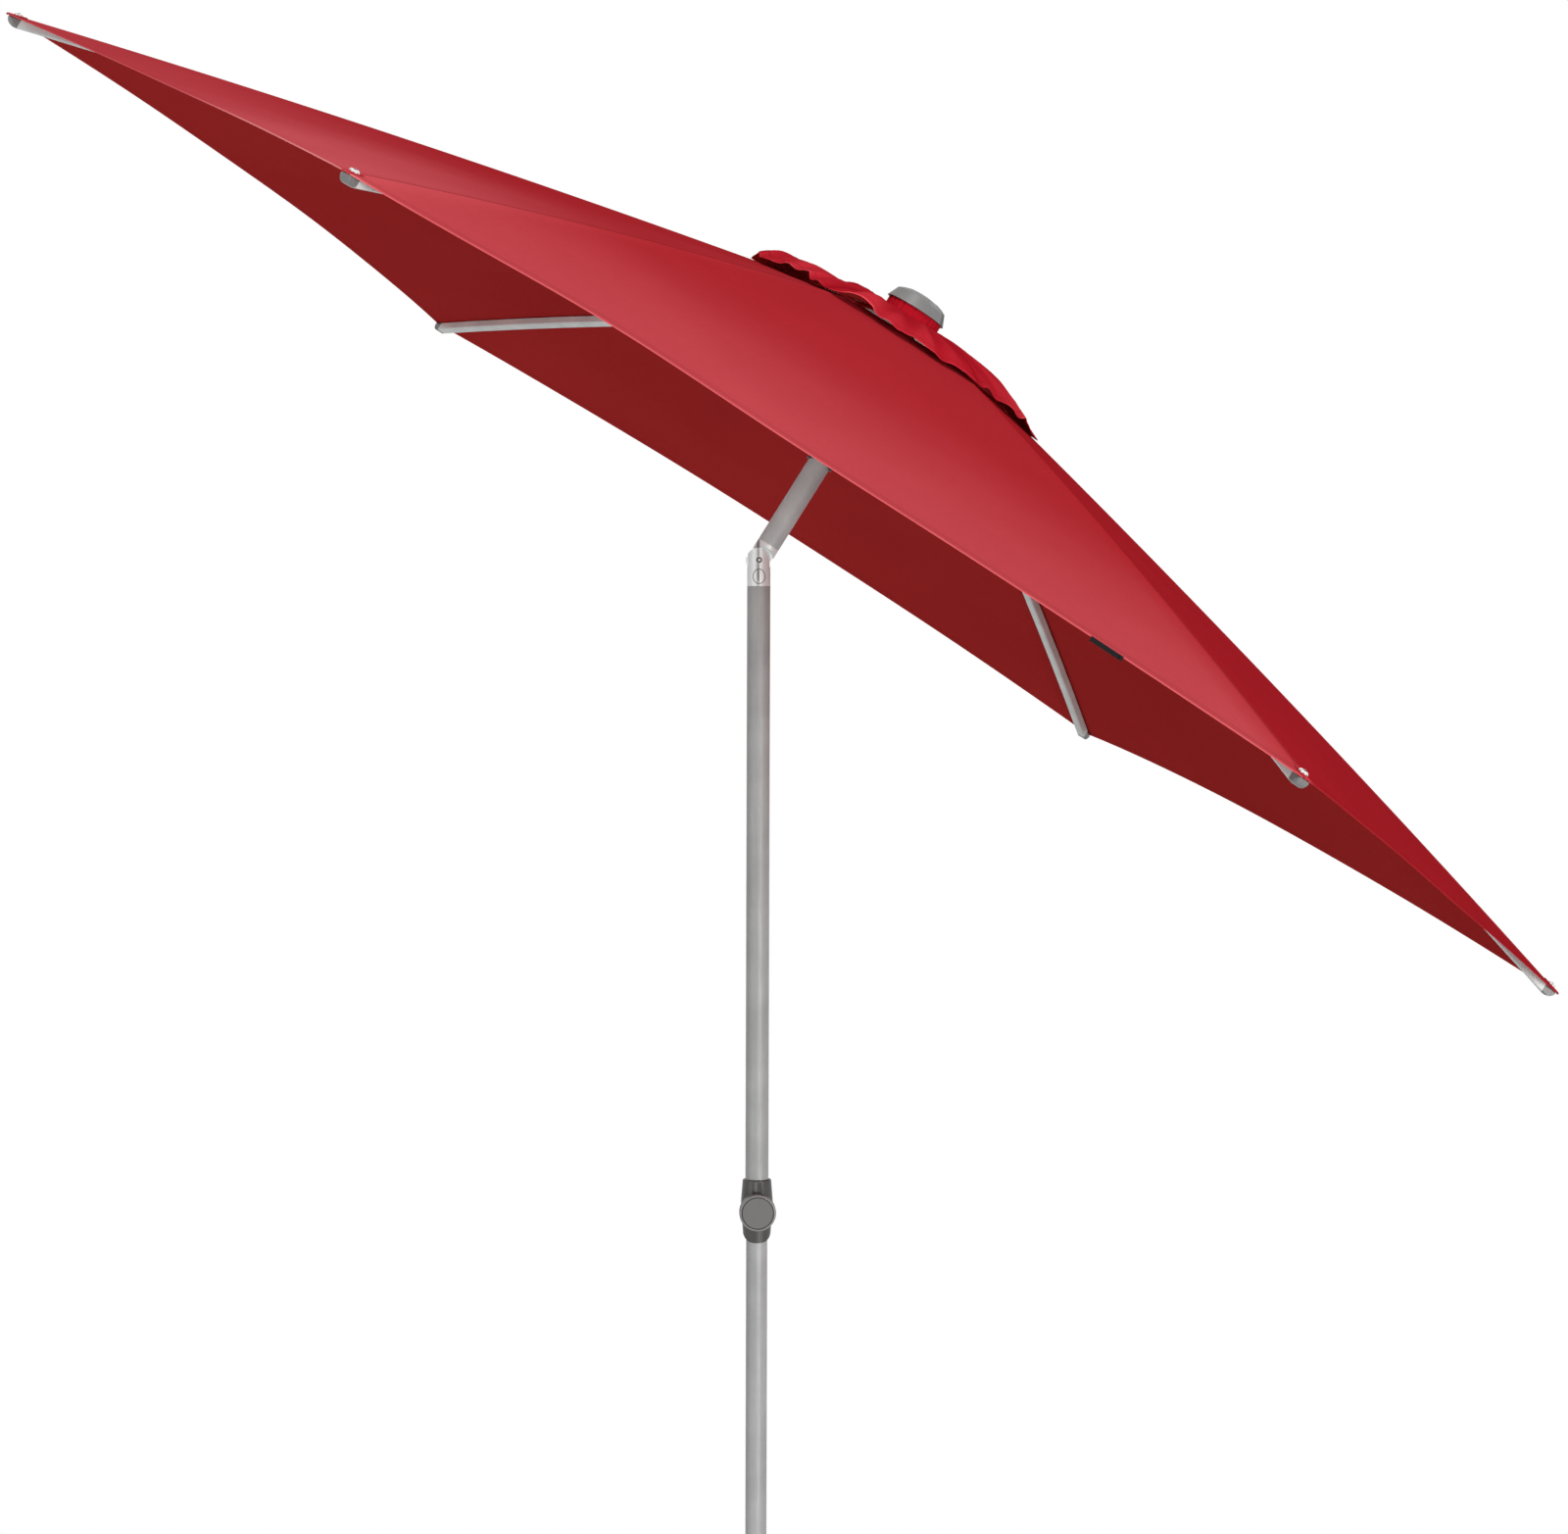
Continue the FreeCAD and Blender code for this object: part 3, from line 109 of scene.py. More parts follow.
# ---------------------------------------------------------------- materials
class Nodes:
    """A material under construction, with short calls for its nodes."""

    def __init__(self, name):
        self.material = bpy.data.materials.new(name)
        self.material.use_nodes = True
        self.tree = self.material.node_tree
        self.shader = self.tree.nodes["Principled BSDF"]
        self.out = self.tree.nodes["Material Output"]

    @classmethod
    def of_tree(cls, tree):
        nodes = cls.__new__(cls)
        nodes.tree = tree
        return nodes

    def node(self, kind, **settings):
        node = self.tree.nodes.new(kind)
        for key, value in settings.items():
            setattr(node, key, value)
        return node

    def link(self, source, target):
        self.tree.links.new(source, target)

    def feed(self, socket, value):
        if isinstance(value, bpy.types.NodeSocket):
            self.link(value, socket)
        else:
            socket.default_value = value

    def coords(self, kind="Object"):
        return self.node("ShaderNodeTexCoord").outputs[kind]

    def seen(self):
        """1 where the camera, a reflection or a transparent piece looks."""
        path = self.node("ShaderNodeLightPath").outputs
        mirrored = self.math("MAXIMUM", path["Is Glossy Ray"], path["Is Transmission Ray"])
        return self.math("MAXIMUM", path["Is Camera Ray"], mirrored)

    def scaled(self, vector, scale):
        node = self.node("ShaderNodeVectorMath", operation="MULTIPLY")
        self.link(vector, node.inputs[0])
        node.inputs[1].default_value = scale
        return node.outputs[0]

    def axis(self, vector, name):
        node = self.node("ShaderNodeSeparateXYZ")
        self.link(vector, node.inputs[0])
        return node.outputs[name]

    def math(self, operation, a, b=0.0, c=0.0):
        node = self.node("ShaderNodeMath", operation=operation)
        for socket, value in zip(node.inputs, (a, b, c)):
            self.feed(socket, value)
        return node.outputs[0]

    def noise(self, vector, scale, detail=3.0, rough=0.55, distort=0.0):
        node = self.node("ShaderNodeTexNoise")
        self.link(vector, node.inputs["Vector"])
        node.inputs["Scale"].default_value = scale
        node.inputs["Detail"].default_value = detail
        node.inputs["Roughness"].default_value = rough
        node.inputs["Distortion"].default_value = distort
        return node.outputs["Fac"]

    def waves(self, vector, scale, direction):
        node = self.node("ShaderNodeTexWave", bands_direction=direction)
        self.link(vector, node.inputs["Vector"])
        node.inputs["Scale"].default_value = scale
        return node.outputs["Fac"]

    def remap(self, value, low, high, to_low=0.0, to_high=1.0):
        node = self.node("ShaderNodeMapRange", interpolation_type="SMOOTHSTEP")
        for socket, item in zip(node.inputs, (value, low, high, to_low, to_high)):
            self.feed(socket, item)
        return node.outputs[0]

    def mix(self, factor, a, b):
        node = self.node("ShaderNodeMix", data_type="RGBA")
        self.feed(node.inputs["Factor"], factor)
        for socket, value in ((node.inputs[6], a), (node.inputs[7], b)):
            self.feed(socket, (*value, 1.0) if isinstance(value, tuple) else value)
        return node.outputs[2]

    def bump(self, height, distance, strength=1.0, normal=None):
        node = self.node("ShaderNodeBump")
        self.link(height, node.inputs["Height"])
        node.inputs["Distance"].default_value = distance
        node.inputs["Strength"].default_value = strength
        if normal is not None:
            self.link(normal, node.inputs["Normal"])
        return node.outputs["Normal"]

    def edges(self, radius, low, high):
        """1 on sharp outer edges, 0 elsewhere."""
        bevel = self.node("ShaderNodeBevel", samples=4)
        bevel.inputs["Radius"].default_value = radius
        dot = self.node("ShaderNodeVectorMath", operation="DOT_PRODUCT")
        self.link(bevel.outputs[0], dot.inputs[0])
        self.link(self.node("ShaderNodeNewGeometry").outputs["Normal"], dot.inputs[1])
        return self.remap(self.math("SUBTRACT", 1.0, dot.outputs["Value"]), low, high)

    def set(self, **values):
        for key, value in values.items():
            self.feed(self.shader.inputs[key.replace("_", " ")], value)
        return self.material


WAVE_PERIOD = 2 * math.pi / 20  # of a wave texture at scale 1
THREAD = 0.0011  # spacing of the cloth's threads
SEAM_STITCH, HEM_STITCH = 0.0038, 0.0100  # rows of stitches, from the seam and from the hem's edge
STITCH_L = 0.0016
HEM_LINE = 0.0130  # dark line where the folded hem ends


def times(colour, factor, add=0.0):
    """A colour made lighter or darker, no lighter than white."""
    return tuple(min(1, factor * c + add) for c in colour)


def cloth(name, light, deep):
    """Dyed polyester canvas: plain weave, felled seam over the rib, stitched hem, and a painted sheen that
    stands in for light,
    most at the hem. UV is in metres: across from the seam, and in from the hem."""
    n = Nodes(name)
    uv = n.coords("UV")
    across = n.math("ABSOLUTE", n.axis(uv, "X"))
    inward = n.axis(uv, "Y")
    broad = n.noise(n.coords(), 3.1, 2.0)
    warp = n.noise(n.scaled(uv, (40.0, 900.0, 1.0)), 1.0, 2.0)
    weft = n.noise(n.scaled(uv, (900.0, 40.0, 1.0)), 1.0, 2.0)
    weave = WAVE_PERIOD / THREAD
    threads = n.math("ADD", n.waves(uv, weave, "X"), n.waves(uv, weave, "Y"))
    # painted sheen: where it is high the cloth takes the lighter, paler red, standing in for light falling
    # on it
    painted_sheen = n.node("ShaderNodeAttribute", attribute_name="painted_sheen").outputs["Fac"]
    colour = n.mix(painted_sheen, deep, light)
    colour = n.mix(n.remap(broad, 0.35, 0.7), colour, n.scaled(colour, (1.04, 1.10, 1.08)))
    colour = n.mix(n.remap(warp, 0.45, 0.75), colour, n.scaled(colour, (0.94, 0.90, 0.90)))
    colour = n.mix(n.remap(weft, 0.45, 0.75), colour, n.scaled(colour, (1.05, 1.12, 1.12)))
    seam_line = n.remap(across, 0.0008, 0.0018, 1.0, 0.0)
    from_fold = n.math("ABSOLUTE", n.math("SUBTRACT", inward, HEM_LINE))
    fold_line = n.remap(from_fold, 0.0002, 0.0010, 1.0, 0.0)
    dark = n.math("MULTIPLY", n.math("MAXIMUM", seam_line, fold_line), 0.55)
    colour = n.mix(dark, colour, times(deep, 0.35))
    # painted highlight along the hem's rounded edge, stronger where the painted sheen is
    hem_highlight = n.math("MULTIPLY", n.remap(inward, 0.0008, 0.0026, 1.0, 0.0),
                      n.remap(painted_sheen, 0.6, 1.0, 0.3, 0.9))
    colour = n.mix(hem_highlight, colour, n.scaled(colour, (1.45, 3.2, 2.8)))

    def stitches(distance, run):
        row = n.remap(n.math("ABSOLUTE", distance), 0.0003, 0.0007, 1.0, 0.0)
        dash = n.remap(n.math("PINGPONG", run, STITCH_L), 0.0003, 0.0006)
        return n.math("MULTIPLY", row, dash)

    along_seam = stitches(n.math("SUBTRACT", across, SEAM_STITCH), inward)
    along_hem = stitches(n.math("SUBTRACT", inward, HEM_STITCH), n.axis(uv, "X"))
    stitched = n.math("MAXIMUM", along_seam, along_hem)
    colour = n.mix(n.math("MULTIPLY", stitched, 0.6), colour, n.scaled(colour, (1.2, 1.5, 1.5)))
    normal = n.bump(threads, 0.00012, 0.5)
    normal = n.bump(stitched, 0.0004, 0.8, normal)
    normal = n.bump(broad, 0.004, 0.25, normal)
    rough = n.remap(n.math("ADD", warp, weft), 0.7, 1.3, 0.70, 0.86)
    return n.set(Base_Color=colour, Roughness=rough, Normal=normal, Specular_IOR_Level=0.0)


def metal(name, colour, rough, wear, grain, metallic, direction):
    """Extruded or drawn metal: die lines along one direction, faint blotches, bright edges."""
    n = Nodes(name)
    here = n.coords()
    lines = n.noise(n.scaled(here, tuple(grain * d for d in direction)), 1.0, 3.0)
    blotch = n.noise(here, 14.0, 4.0)
    tint = n.mix(n.remap(blotch, 0.3, 0.7), times(colour, 0.90), times(colour, 1.08))
    tint = n.mix(n.math("MULTIPLY", n.remap(lines, 0.4, 0.75), 0.25), tint, times(colour, 0.75))
    tint = n.mix(n.math("MULTIPLY", n.edges(0.0008, 0.02, 0.2), wear), tint, times(colour, 1.5))
    return n.set(Base_Color=tint, Metallic=metallic,
                 Roughness=n.remap(lines, 0.3, 0.7, rough - 0.06, rough + 0.08),
                 Normal=n.bump(lines, 0.00002, 0.3))


REFLECTION_AT, REFLECTION_W = -0.0014, (0.0006, 0.0036)  # painted reflection, a dark line down the castings' fronts: place and half widths


def cast_metal(name, colour, dark, node=None, ring=(0.88, 0.94)):
    """Pale satin casting: cast grain, worn edges, a painted reflection as a soft dark line down its front
    and, for a piece that is seen end on, a dark ring inside its outline."""
    n = Nodes(name)
    here = n.coords()
    grain = n.noise(here, 700.0, 3.0)
    tint = n.mix(n.remap(n.noise(here, 30.0, 3.0), 0.3, 0.7), times(colour, 0.94), colour)
    tint = n.mix(n.math("MULTIPLY", n.edges(0.0006, 0.02, 0.2), 0.35), tint, times(colour, 0.45))
    # painted reflection: a soft, uneven dark streak down the front
    off = n.math("ABSOLUTE", n.math("SUBTRACT", n.axis(here, "X"), REFLECTION_AT))
    uneven = n.remap(n.noise(here, 45.0, 1.0), 0.35, 0.6, 0.45, 1.0)
    tint = n.mix(n.math("MULTIPLY", n.remap(off, *REFLECTION_W, 0.85, 0.0), uneven), tint, dark)
    if node:
        low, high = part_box(node)

        def from_middle(axis, i):
            """0 in the middle of the piece and 1 at its ends, along one axis."""
            off = n.math("SUBTRACT", n.axis(here, axis), (low[i] + high[i]) / 2)
            return n.math("DIVIDE", off, (high[i] - low[i]) / 2)

        across, along = from_middle("X", 0), from_middle("Z", 2)
        out = n.math("SQRT", n.math("MULTIPLY_ADD", across, across, n.math("MULTIPLY", along, along)))
        tint = n.mix(n.remap(out, *ring), tint, dark)
    return n.set(Base_Color=tint, Metallic=0.15, Roughness=n.remap(grain, 0.3, 0.7, 0.36, 0.44),
                 Normal=n.bump(grain, 0.00001, 0.15))


def plastic(name, colour, rough, grain=900.0, wear=0.3, sink=0.00003):
    """Injection moulding: spark-eroded grain, flow marks and paler handled edges."""
    n = Nodes(name)
    here = n.coords()
    fine = n.noise(here, grain, 2.0)
    flow = n.noise(n.scaled(here, (25.0, 25.0, 9.0)), 1.0, 3.0, distort=0.6)
    tint = n.mix(n.remap(flow, 0.3, 0.7), times(colour, 0.92), times(colour, 1.07))
    tint = n.mix(n.math("MULTIPLY", n.edges(0.0006, 0.02, 0.2), wear), tint, times(colour, 1.5, 0.02))
    return n.set(Base_Color=tint, Roughness=n.remap(flow, 0.3, 0.7, rough - 0.05, rough + 0.05),
                 Normal=n.bump(fine, sink, 0.5))


def paint(name, colour, rough, cast=0.0, wear=0.35):
    """Painted or powder-coated iron and steel: orange peel, casting texture, rubbed edges."""
    n = Nodes(name)
    here = n.coords()
    peel = n.noise(here, 420.0, 2.0)
    lumps = n.noise(here, 90.0, 4.0)
    dust = n.noise(here, 9.0, 4.0)
    tint = n.mix(n.remap(dust, 0.35, 0.7), colour, times(colour, 1.25, 0.008))
    tint = n.mix(n.math("MULTIPLY", n.edges(0.0012, 0.03, 0.25), wear), tint, times(colour, 2.0, 0.05))
    normal = n.bump(peel, 0.00005, 0.5)
    if cast:
        normal = n.bump(lumps, cast, 0.6, normal)
    return n.set(Base_Color=tint, Roughness=n.remap(dust, 0.3, 0.7, rough - 0.06, rough + 0.08),
                 Normal=normal)


EVENLY, DRAWN = (1.0, 1.0, 1.0), (1.0, 1.0, 0.03)  # how the grain is stretched, along each axis
# the first colour is the cloth under full painted sheen, the second its plain dye
mat_cloth = cloth("cloth_outer", (0.600, 0.084, 0.100), (0.420, 0.014, 0.021))
mat_under = cloth("cloth_under", (0.56, 0.035, 0.035), (0.55, 0.032, 0.032))
mat_hood = cloth("cloth_hood", (0.58, 0.028, 0.042), (0.43, 0.008, 0.018))
mat_rib = metal("rib_aluminium", (0.80, 0.85, 0.83), 0.42, 0.1, 30.0, 0.0, EVENLY)
mat_strut = metal("strut_aluminium", (0.76, 0.80, 0.78), 0.42, 0.1, 30.0, 0.0, EVENLY)
mat_pole = metal("pole_silver_paint", (0.400, 0.415, 0.405), 0.44, 0.3, 500.0, 0.0, DRAWN)
# painted light: the upper pole's silver paint made lighter and bluer, against the shade and red bounce
# under the canopy
mat_head_pole_lightened = metal("head_pole_paint_painted_light", (0.65, 0.71, 0.70), 0.44, 0.3, 500.0, 0.0, DRAWN)
mat_lower = metal("lower_pole_silver_paint", (0.42, 0.425, 0.425), 0.40, 0.3, 500.0, 0.0, DRAWN)
mat_knuckle = cast_metal("die_cast_satin", (0.92, 0.97, 0.96), (0.10, 0.10, 0.10))
mat_button = cast_metal("button_satin", (0.93, 0.97, 0.96), (0.10, 0.10, 0.10), "tilt_button")
mat_pin = cast_metal("pin_steel", (0.90, 0.90, 0.90), (0.015, 0.015, 0.015), "tilt_pin", (0.50, 0.62))
mat_steel = metal("zinc_steel", (0.58, 0.58, 0.57), 0.3, 0.4, 900.0, 1.0, EVENLY)
mat_collar = plastic("collar_plastic", (0.056, 0.054, 0.050), 0.42)
# painted highlight: the knob's plastic made lighter on its bevelled rim, where it catches the light
mat_rim_highlight = plastic("knob_rim_painted_highlight", (0.27, 0.265, 0.255), 0.34)
mat_knob = plastic("knob_plastic", (0.150, 0.150, 0.143), 0.55)
mat_cap = plastic("cap_plastic", (0.185, 0.188, 0.186), 0.48)
mat_tip = plastic("tip_plastic", (0.21, 0.21, 0.205), 0.36)
mat_fitting = plastic("fitting_plastic", (0.24, 0.24, 0.23), 0.42)
mat_dark = plastic("dark_plastic", (0.05, 0.05, 0.05), 0.45)
# painted shadow: near black on the faces inside the knob's groove
mat_shadow = plastic("groove_painted_shadow", (0.010, 0.010, 0.010), 0.6)
# painted shade for the collar's hollow: a rougher copy of the collar's near-black plastic
mat_hollow_shade = plastic("hollow_painted_shade", (0.060, 0.058, 0.055), 0.5)
mat_white = plastic("white_plastic", (0.66, 0.66, 0.65), 0.40)
mat_iron = paint("painted_cast_iron", (0.045, 0.045, 0.047), 0.55, 0.0006)
mat_stand = paint("powder_coated_steel", (0.050, 0.050, 0.052), 0.42)
mat_rubber = plastic("rubber", (0.025, 0.025, 0.025), 0.75, 500.0, 0.2, 0.0001)
mat_label = cloth("label_woven", (0.030, 0.030, 0.031), (0.016, 0.016, 0.017))

TIP_CAP_L = 0.027  # of the plastic cap on a rib's end
KNOB_GROOVE = (0.0249, 0.0269)  # radii of the groove round the knob's disc
KNOB_FACE = 0.0004  # faces nearer than this to the knob's front are not in the groove
# depth from the knob's front that the rim's painted highlight covers
KNOB_RIM_L = 0.0045
SCOOP_R, SCOOP_OUT, SCOOP_TOL = 0.0115, 0.032, 0.0006  # hollow down the front of the collar


def repaint(name, material, inside):
    """Gives another material to the faces of a CAD node whose middles pass a test."""
    mesh = frame["nodes"][name].data
    mesh.materials.append(material)
    for face in mesh.polygons:
        if inside(np.array(face.center)):
            face.material_index = len(mesh.materials) - 1


def repaint_details():
    """Paints the rib's end caps, a painted highlight on the knob's rim, and painted shade in the knob's
    groove and the collar's hollow.
    """
    for k in range(RIBS):
        out = math.cos(k * 2 * HALF) * SIDE + math.sin(k * 2 * HALF) * BACK
        repaint(f"rib_fittings_{k}", mat_tip, lambda c: np.dot(c - PIVOT, out) > TIP_R - TIP_CAP_L)
    low, high = (np.array(p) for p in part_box("clamp_knob"))
    axis = (low + high) / 2
    inner, outer = KNOB_GROOVE

    def knob_r(c):
        return math.hypot(c[0] - axis[0], c[2] - axis[2])

    def in_groove(c):
        return inner < knob_r(c) < outer and c[1] > low[1] + KNOB_FACE

    def in_scoop(c):
        return abs(math.hypot(c[0] - PIVOT[0], c[1] - PIVOT[1] + SCOOP_OUT) - SCOOP_R) < SCOOP_TOL

    def on_rim_highlight(c):
        return knob_r(c) > outer and c[1] < low[1] + KNOB_RIM_L

    repaint("clamp_knob", mat_rim_highlight, on_rim_highlight)
    repaint("clamp_knob", mat_shadow, in_groove)
    repaint("clamp_collar", mat_hollow_shade, in_scoop)


DRESS = (  # starts of node names and their material; a later row overrides an earlier one
    (tuple(f"rib_{k}" for k in range(RIBS)), mat_rib),
    ("strut_", mat_strut),
    ("rib_fittings", mat_fitting),
    (("rib_pins", "strut_pins", "clamp_screw", "stand_screw", "base_bolt", "button_spring"), mat_steel),
    (("crown_hub", "runner"), mat_dark),
    ("runner_catch", mat_steel),
    ("crown_cap", mat_cap),
    ("head_pole", mat_head_pole_lightened),
    ("upper_pole", mat_pole),
    ("lower_pole", mat_lower),
    (("lower_pole_guide", "lower_pole_foot", "clamp_pad", "stand_pad"), mat_dark),
    (("tilt_head", "tilt_base"), mat_knuckle),
    ("tilt_button", mat_button),
    ("tilt_pin", mat_pin),
    ("clamp_collar", mat_collar),
    ("clamp_knob", mat_knob),
    (("stand_sleeve", "stand_knob"), mat_dark),
    ("stand_tube", mat_stand),
    ("base_disc", mat_iron),
    ("base_feet", mat_rubber),
)

for starts, material in DRESS:
    for name, obj in frame["nodes"].items():
        if name.startswith(starts):
            obj.data.materials.clear()
            obj.data.materials.append(material)
repaint_details()

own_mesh(frame["nodes"]["button_spring"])


# ---------------------------------------------------------------- cloth
SHARP = math.radians(50.0)  # edges of a sheet bent further than this are shaded sharp


def closed_sheet(name, top, under, uv, painted_sheen, materials):
    """A sheet with thickness from two matching grids of points; outside, underside and edges."""
    rows, cols = top.shape[:2]
    count = rows * cols
    verts = np.concatenate([top.reshape(-1, 3), under.reshape(-1, 3)])
    faces, which = [], []

    def at(i, j, layer):
        return layer * count + i * cols + j

    for i in range(rows - 1):
        for j in range(cols - 1):
            quad = [at(i, j, 0), at(i + 1, j, 0), at(i + 1, j + 1, 0), at(i, j + 1, 0)]
            faces.append(quad)
            which.append(0)
            faces.append([q + count for q in reversed(quad)])
            which.append(1)
    rim = ([(i, 0) for i in range(rows)] + [(rows - 1, j) for j in range(1, cols)]
           + [(i, cols - 1) for i in range(rows - 2, -1, -1)] + [(0, j) for j in range(cols - 2, 0, -1)])
    for (i0, j0), (i1, j1) in zip(rim, rim[1:] + rim[:1]):
        faces.append([at(i1, j1, 0), at(i0, j0, 0), at(i0, j0, 1), at(i1, j1, 1)])
        which.append(0)
    mesh = bpy.data.meshes.new(name)
    mesh.from_pydata([tuple(v) for v in verts], [], faces)
    for material in materials:
        mesh.materials.append(material)
    mesh.polygons.foreach_set("material_index", which)
    mesh.polygons.foreach_set("use_smooth", [True] * len(faces))
    flat_uv = np.concatenate([uv.reshape(-1, 2)] * 2)
    layer = mesh.uv_layers.new(name="UVMap")
    loops = np.zeros(len(mesh.loops), int)
    mesh.loops.foreach_get("vertex_index", loops)
    layer.data.foreach_set("uv", flat_uv[loops].astype(np.float32).ravel())
    # painted sheen at each point, read by the cloth materials
    pale = mesh.attributes.new("painted_sheen", "FLOAT", "POINT")
    pale.data.foreach_set("value", np.concatenate([painted_sheen.ravel()] * 2).astype(np.float32))
    mesh.set_sharp_from_angle(angle=SHARP)
    mesh.update()
    return add_object(name, mesh)


SEAM_HALF, SEAM_STEP = 0.0050, 0.0012  # half width of the felled seam, and of the step at its edge
SEAM_RISE = 0.0005
HEM_FOLD, HEM_STEP = 0.0125, 0.0015
HEM_RISE = 0.0005
HEM_ROUND_W, HEM_ROUND_H = 0.0012, 0.0004  # rounding of the hem's edge
PANEL_SAG = 0.007
RIPPLE_H = 0.0006  # of the faint unevenness all over a panel
SWELL_PANEL, SWELL_AT, SWELL_W, SWELL_H = 4, -0.55, 0.32, 0.010  # slack at the left of the front hem
SEAM_LINES = (0.0, 0.0010, 0.0030, SEAM_HALF, 0.0062)  # lines of points, from the rib
HEM_LINES = (0.0, 0.0006, 0.0015, 0.004, 0.0085, HEM_FOLD, 0.0140)  # and from the hem's edge
HEM_POINTS = 400
GORE_ACROSS, GORE_DOWN = 26, 56  # points from the rib to the middle of a panel, and from vent to hem


def hem_curve():
    """Plan points of half of a hem, from the rib to the middle of the panel."""
    dip = HEM_DEPTH * math.cos(math.atan(SLOPE / math.cos(HALF)))
    reach = TIP_R * math.cos(HALF) - dip
    middle = np.array((reach * math.cos(HALF), reach * math.sin(HALF)))
    handle = middle + np.array((math.sin(HALF), -math.cos(HALF))) * HEM_FULLNESS
    corner = np.array((TIP_R + TIP_TAB, 0.0))
    t = np.linspace(0, 1, HEM_POINTS)[:, None]
    return (1 - t) ** 2 * corner + 2 * t * (1 - t) * handle + t * t * middle


def panel_lift(panel, v, s):
    """How far the cloth of a panel stands off the straight lines between its ribs: v is -1 at the
    first rib and 1 at the next, s is 0 at the vent and 1 at the hem."""
    sag = -PANEL_SAG * (1 - v * v) * s
    if panel == SWELL_PANEL:
        sag = sag + SWELL_H * np.exp(-((v - SWELL_AT) / SWELL_W) ** 2) * (1 - v * v) * s ** 2
    ripple = RIPPLE_H * np.sin(7.0 * v + 3.0 * panel) * np.sin(9.0 * s + panel) * (1 - v * v)
    return sag + ripple


PANEL_SHEEN = (0.25, 0.4, 0.6, 1.0, 0.64, 0.0)  # painted sheen on each panel, standing in for light: most on those that face the light
PANEL_LEAN = (0.0, 0.0, 0.0, 0.5, 0.0, 0.0)  # how much less at the first rib than at the next
SHEEN_LEAST, SHEEN_L = 0.16, 0.78  # share of it far from the hem, and how far from the hem that is


def panel_sheen(panel, v, inset):
    """Painted sheen standing in for the light on the cloth, strongest at the hem of the panels that face
    the light; 0 to 1.
    """
    beside = PANEL_SHEEN[(panel + 1) % RIBS] if v > 0 else PANEL_SHEEN[(panel - 1) % RIBS]
    share = 0.5 * smooth((np.abs(v) - 0.9) / 0.1)
    strength = PANEL_SHEEN[panel] * (1 - share) + beside * share
    strength = strength * (1 - PANEL_LEAN[panel] * smooth((0.45 - v) / 0.9))
    return strength * (SHEEN_LEAST + (1 - SHEEN_LEAST) * (1 - smooth(inset / SHEEN_L)))


def make_gore(k):
    """The two half panels beside a rib, which fold with it."""
    hem = hem_curve()
    hem_r = hem[:, 0] + hem[:, 1] * math.tan(HALF)
    hem_y = hem[:, 1]
    first = SEAM_LINES[-1]
    shares = (hem_y - first) / (hem_r * ACROSS - first)
    lines = ([(d, None) for d in SEAM_LINES]
             + [(None, (i + 1) / GORE_ACROSS) for i in range(GORE_ACROSS)])
    body = np.linspace(0, 1, GORE_DOWN)
    columns, uvs, painted_sheens = [], [], []
    for side in (-1, 1):
        ordered = lines[::-1] if side < 0 else lines[1:]
        for fixed, share in ordered:
            if share is None:
                end = np.interp(fixed, hem_y, hem_r)
            else:
                end = np.interp(share, shares[hem_y > first], hem_r[hem_y > first])
            r = np.concatenate([VENT_R + (end - HEM_LINES[-1] - VENT_R) * body,
                                [end - d for d in HEM_LINES[-2::-1]]])
            y = np.full_like(r, fixed) if share is None else first + share * (r * ACROSS - first)
            x = r - y * math.tan(HALF)
            s = (r - VENT_R) / (end - VENT_R)
            g = np.clip(y / (r * ACROSS), 0, 1)
            panel, v = (k, g - 1) if side > 0 else ((k - 1) % RIBS, 1 - g)
            inset = end - r
            a = rib_line(r) + panel_lift(panel, v, s)
            a = a + SEAM_RISE * (1 - smooth((y - SEAM_HALF) / SEAM_STEP))
            a = a + HEM_RISE * (1 - smooth((inset - HEM_FOLD) / HEM_STEP))
            a = a - HEM_ROUND_H * (1 - smooth(inset / HEM_ROUND_W))
            columns.append(np.stack([x, side * y, a], -1))
            uvs.append(np.stack([side * y, inset], -1))
            painted_sheens.append(panel_sheen(panel, float(np.mean(v)), inset))
    top = head_points(np.array(columns), k * 2 * HALF)
    return closed_sheet(f"canopy_{k}", top, top - UP * CLOTH_T, np.array(uvs), np.array(painted_sheens),
                        (mat_cloth, mat_under))


STRAP_LAP = 0.016  # how far the strap goes past the vent's edge
STRAP_LIFT, STRAP_LIFT_FROM, STRAP_LIFT_L = 0.0024, 0.012, 0.010  # its rise over the gore
STRAP_LINES = (-0.015, -0.0144, -0.007, 0.0, 0.007, 0.0144, 0.015)
STRAP_ROUND = 0.0003


def make_strap(k):
    """Webbing from the vent's edge up to the hub."""
    r = np.linspace(STRAP_IN_R, VENT_R + STRAP_LAP, 24)
    rr, yy = np.meshgrid(r, STRAP_LINES, indexing="ij")
    lap = smooth((rr - VENT_R + STRAP_LIFT_FROM) / STRAP_LIFT_L) * STRAP_LIFT
    edge = np.abs(yy) == STRAP_LINES[-1]
    a = rib_line(rr + np.abs(yy) * math.tan(HALF)) + lap - STRAP_ROUND * edge
    top = head_points(np.stack([rr, yy, a], -1), k * 2 * HALF)
    uv = np.stack([0.02 + yy, 0.05 + rr], -1)
    return closed_sheet(f"canopy_strap_{k}", top, top - UP * CLOTH_T, uv, np.zeros_like(rr),
                        (mat_under, mat_under))


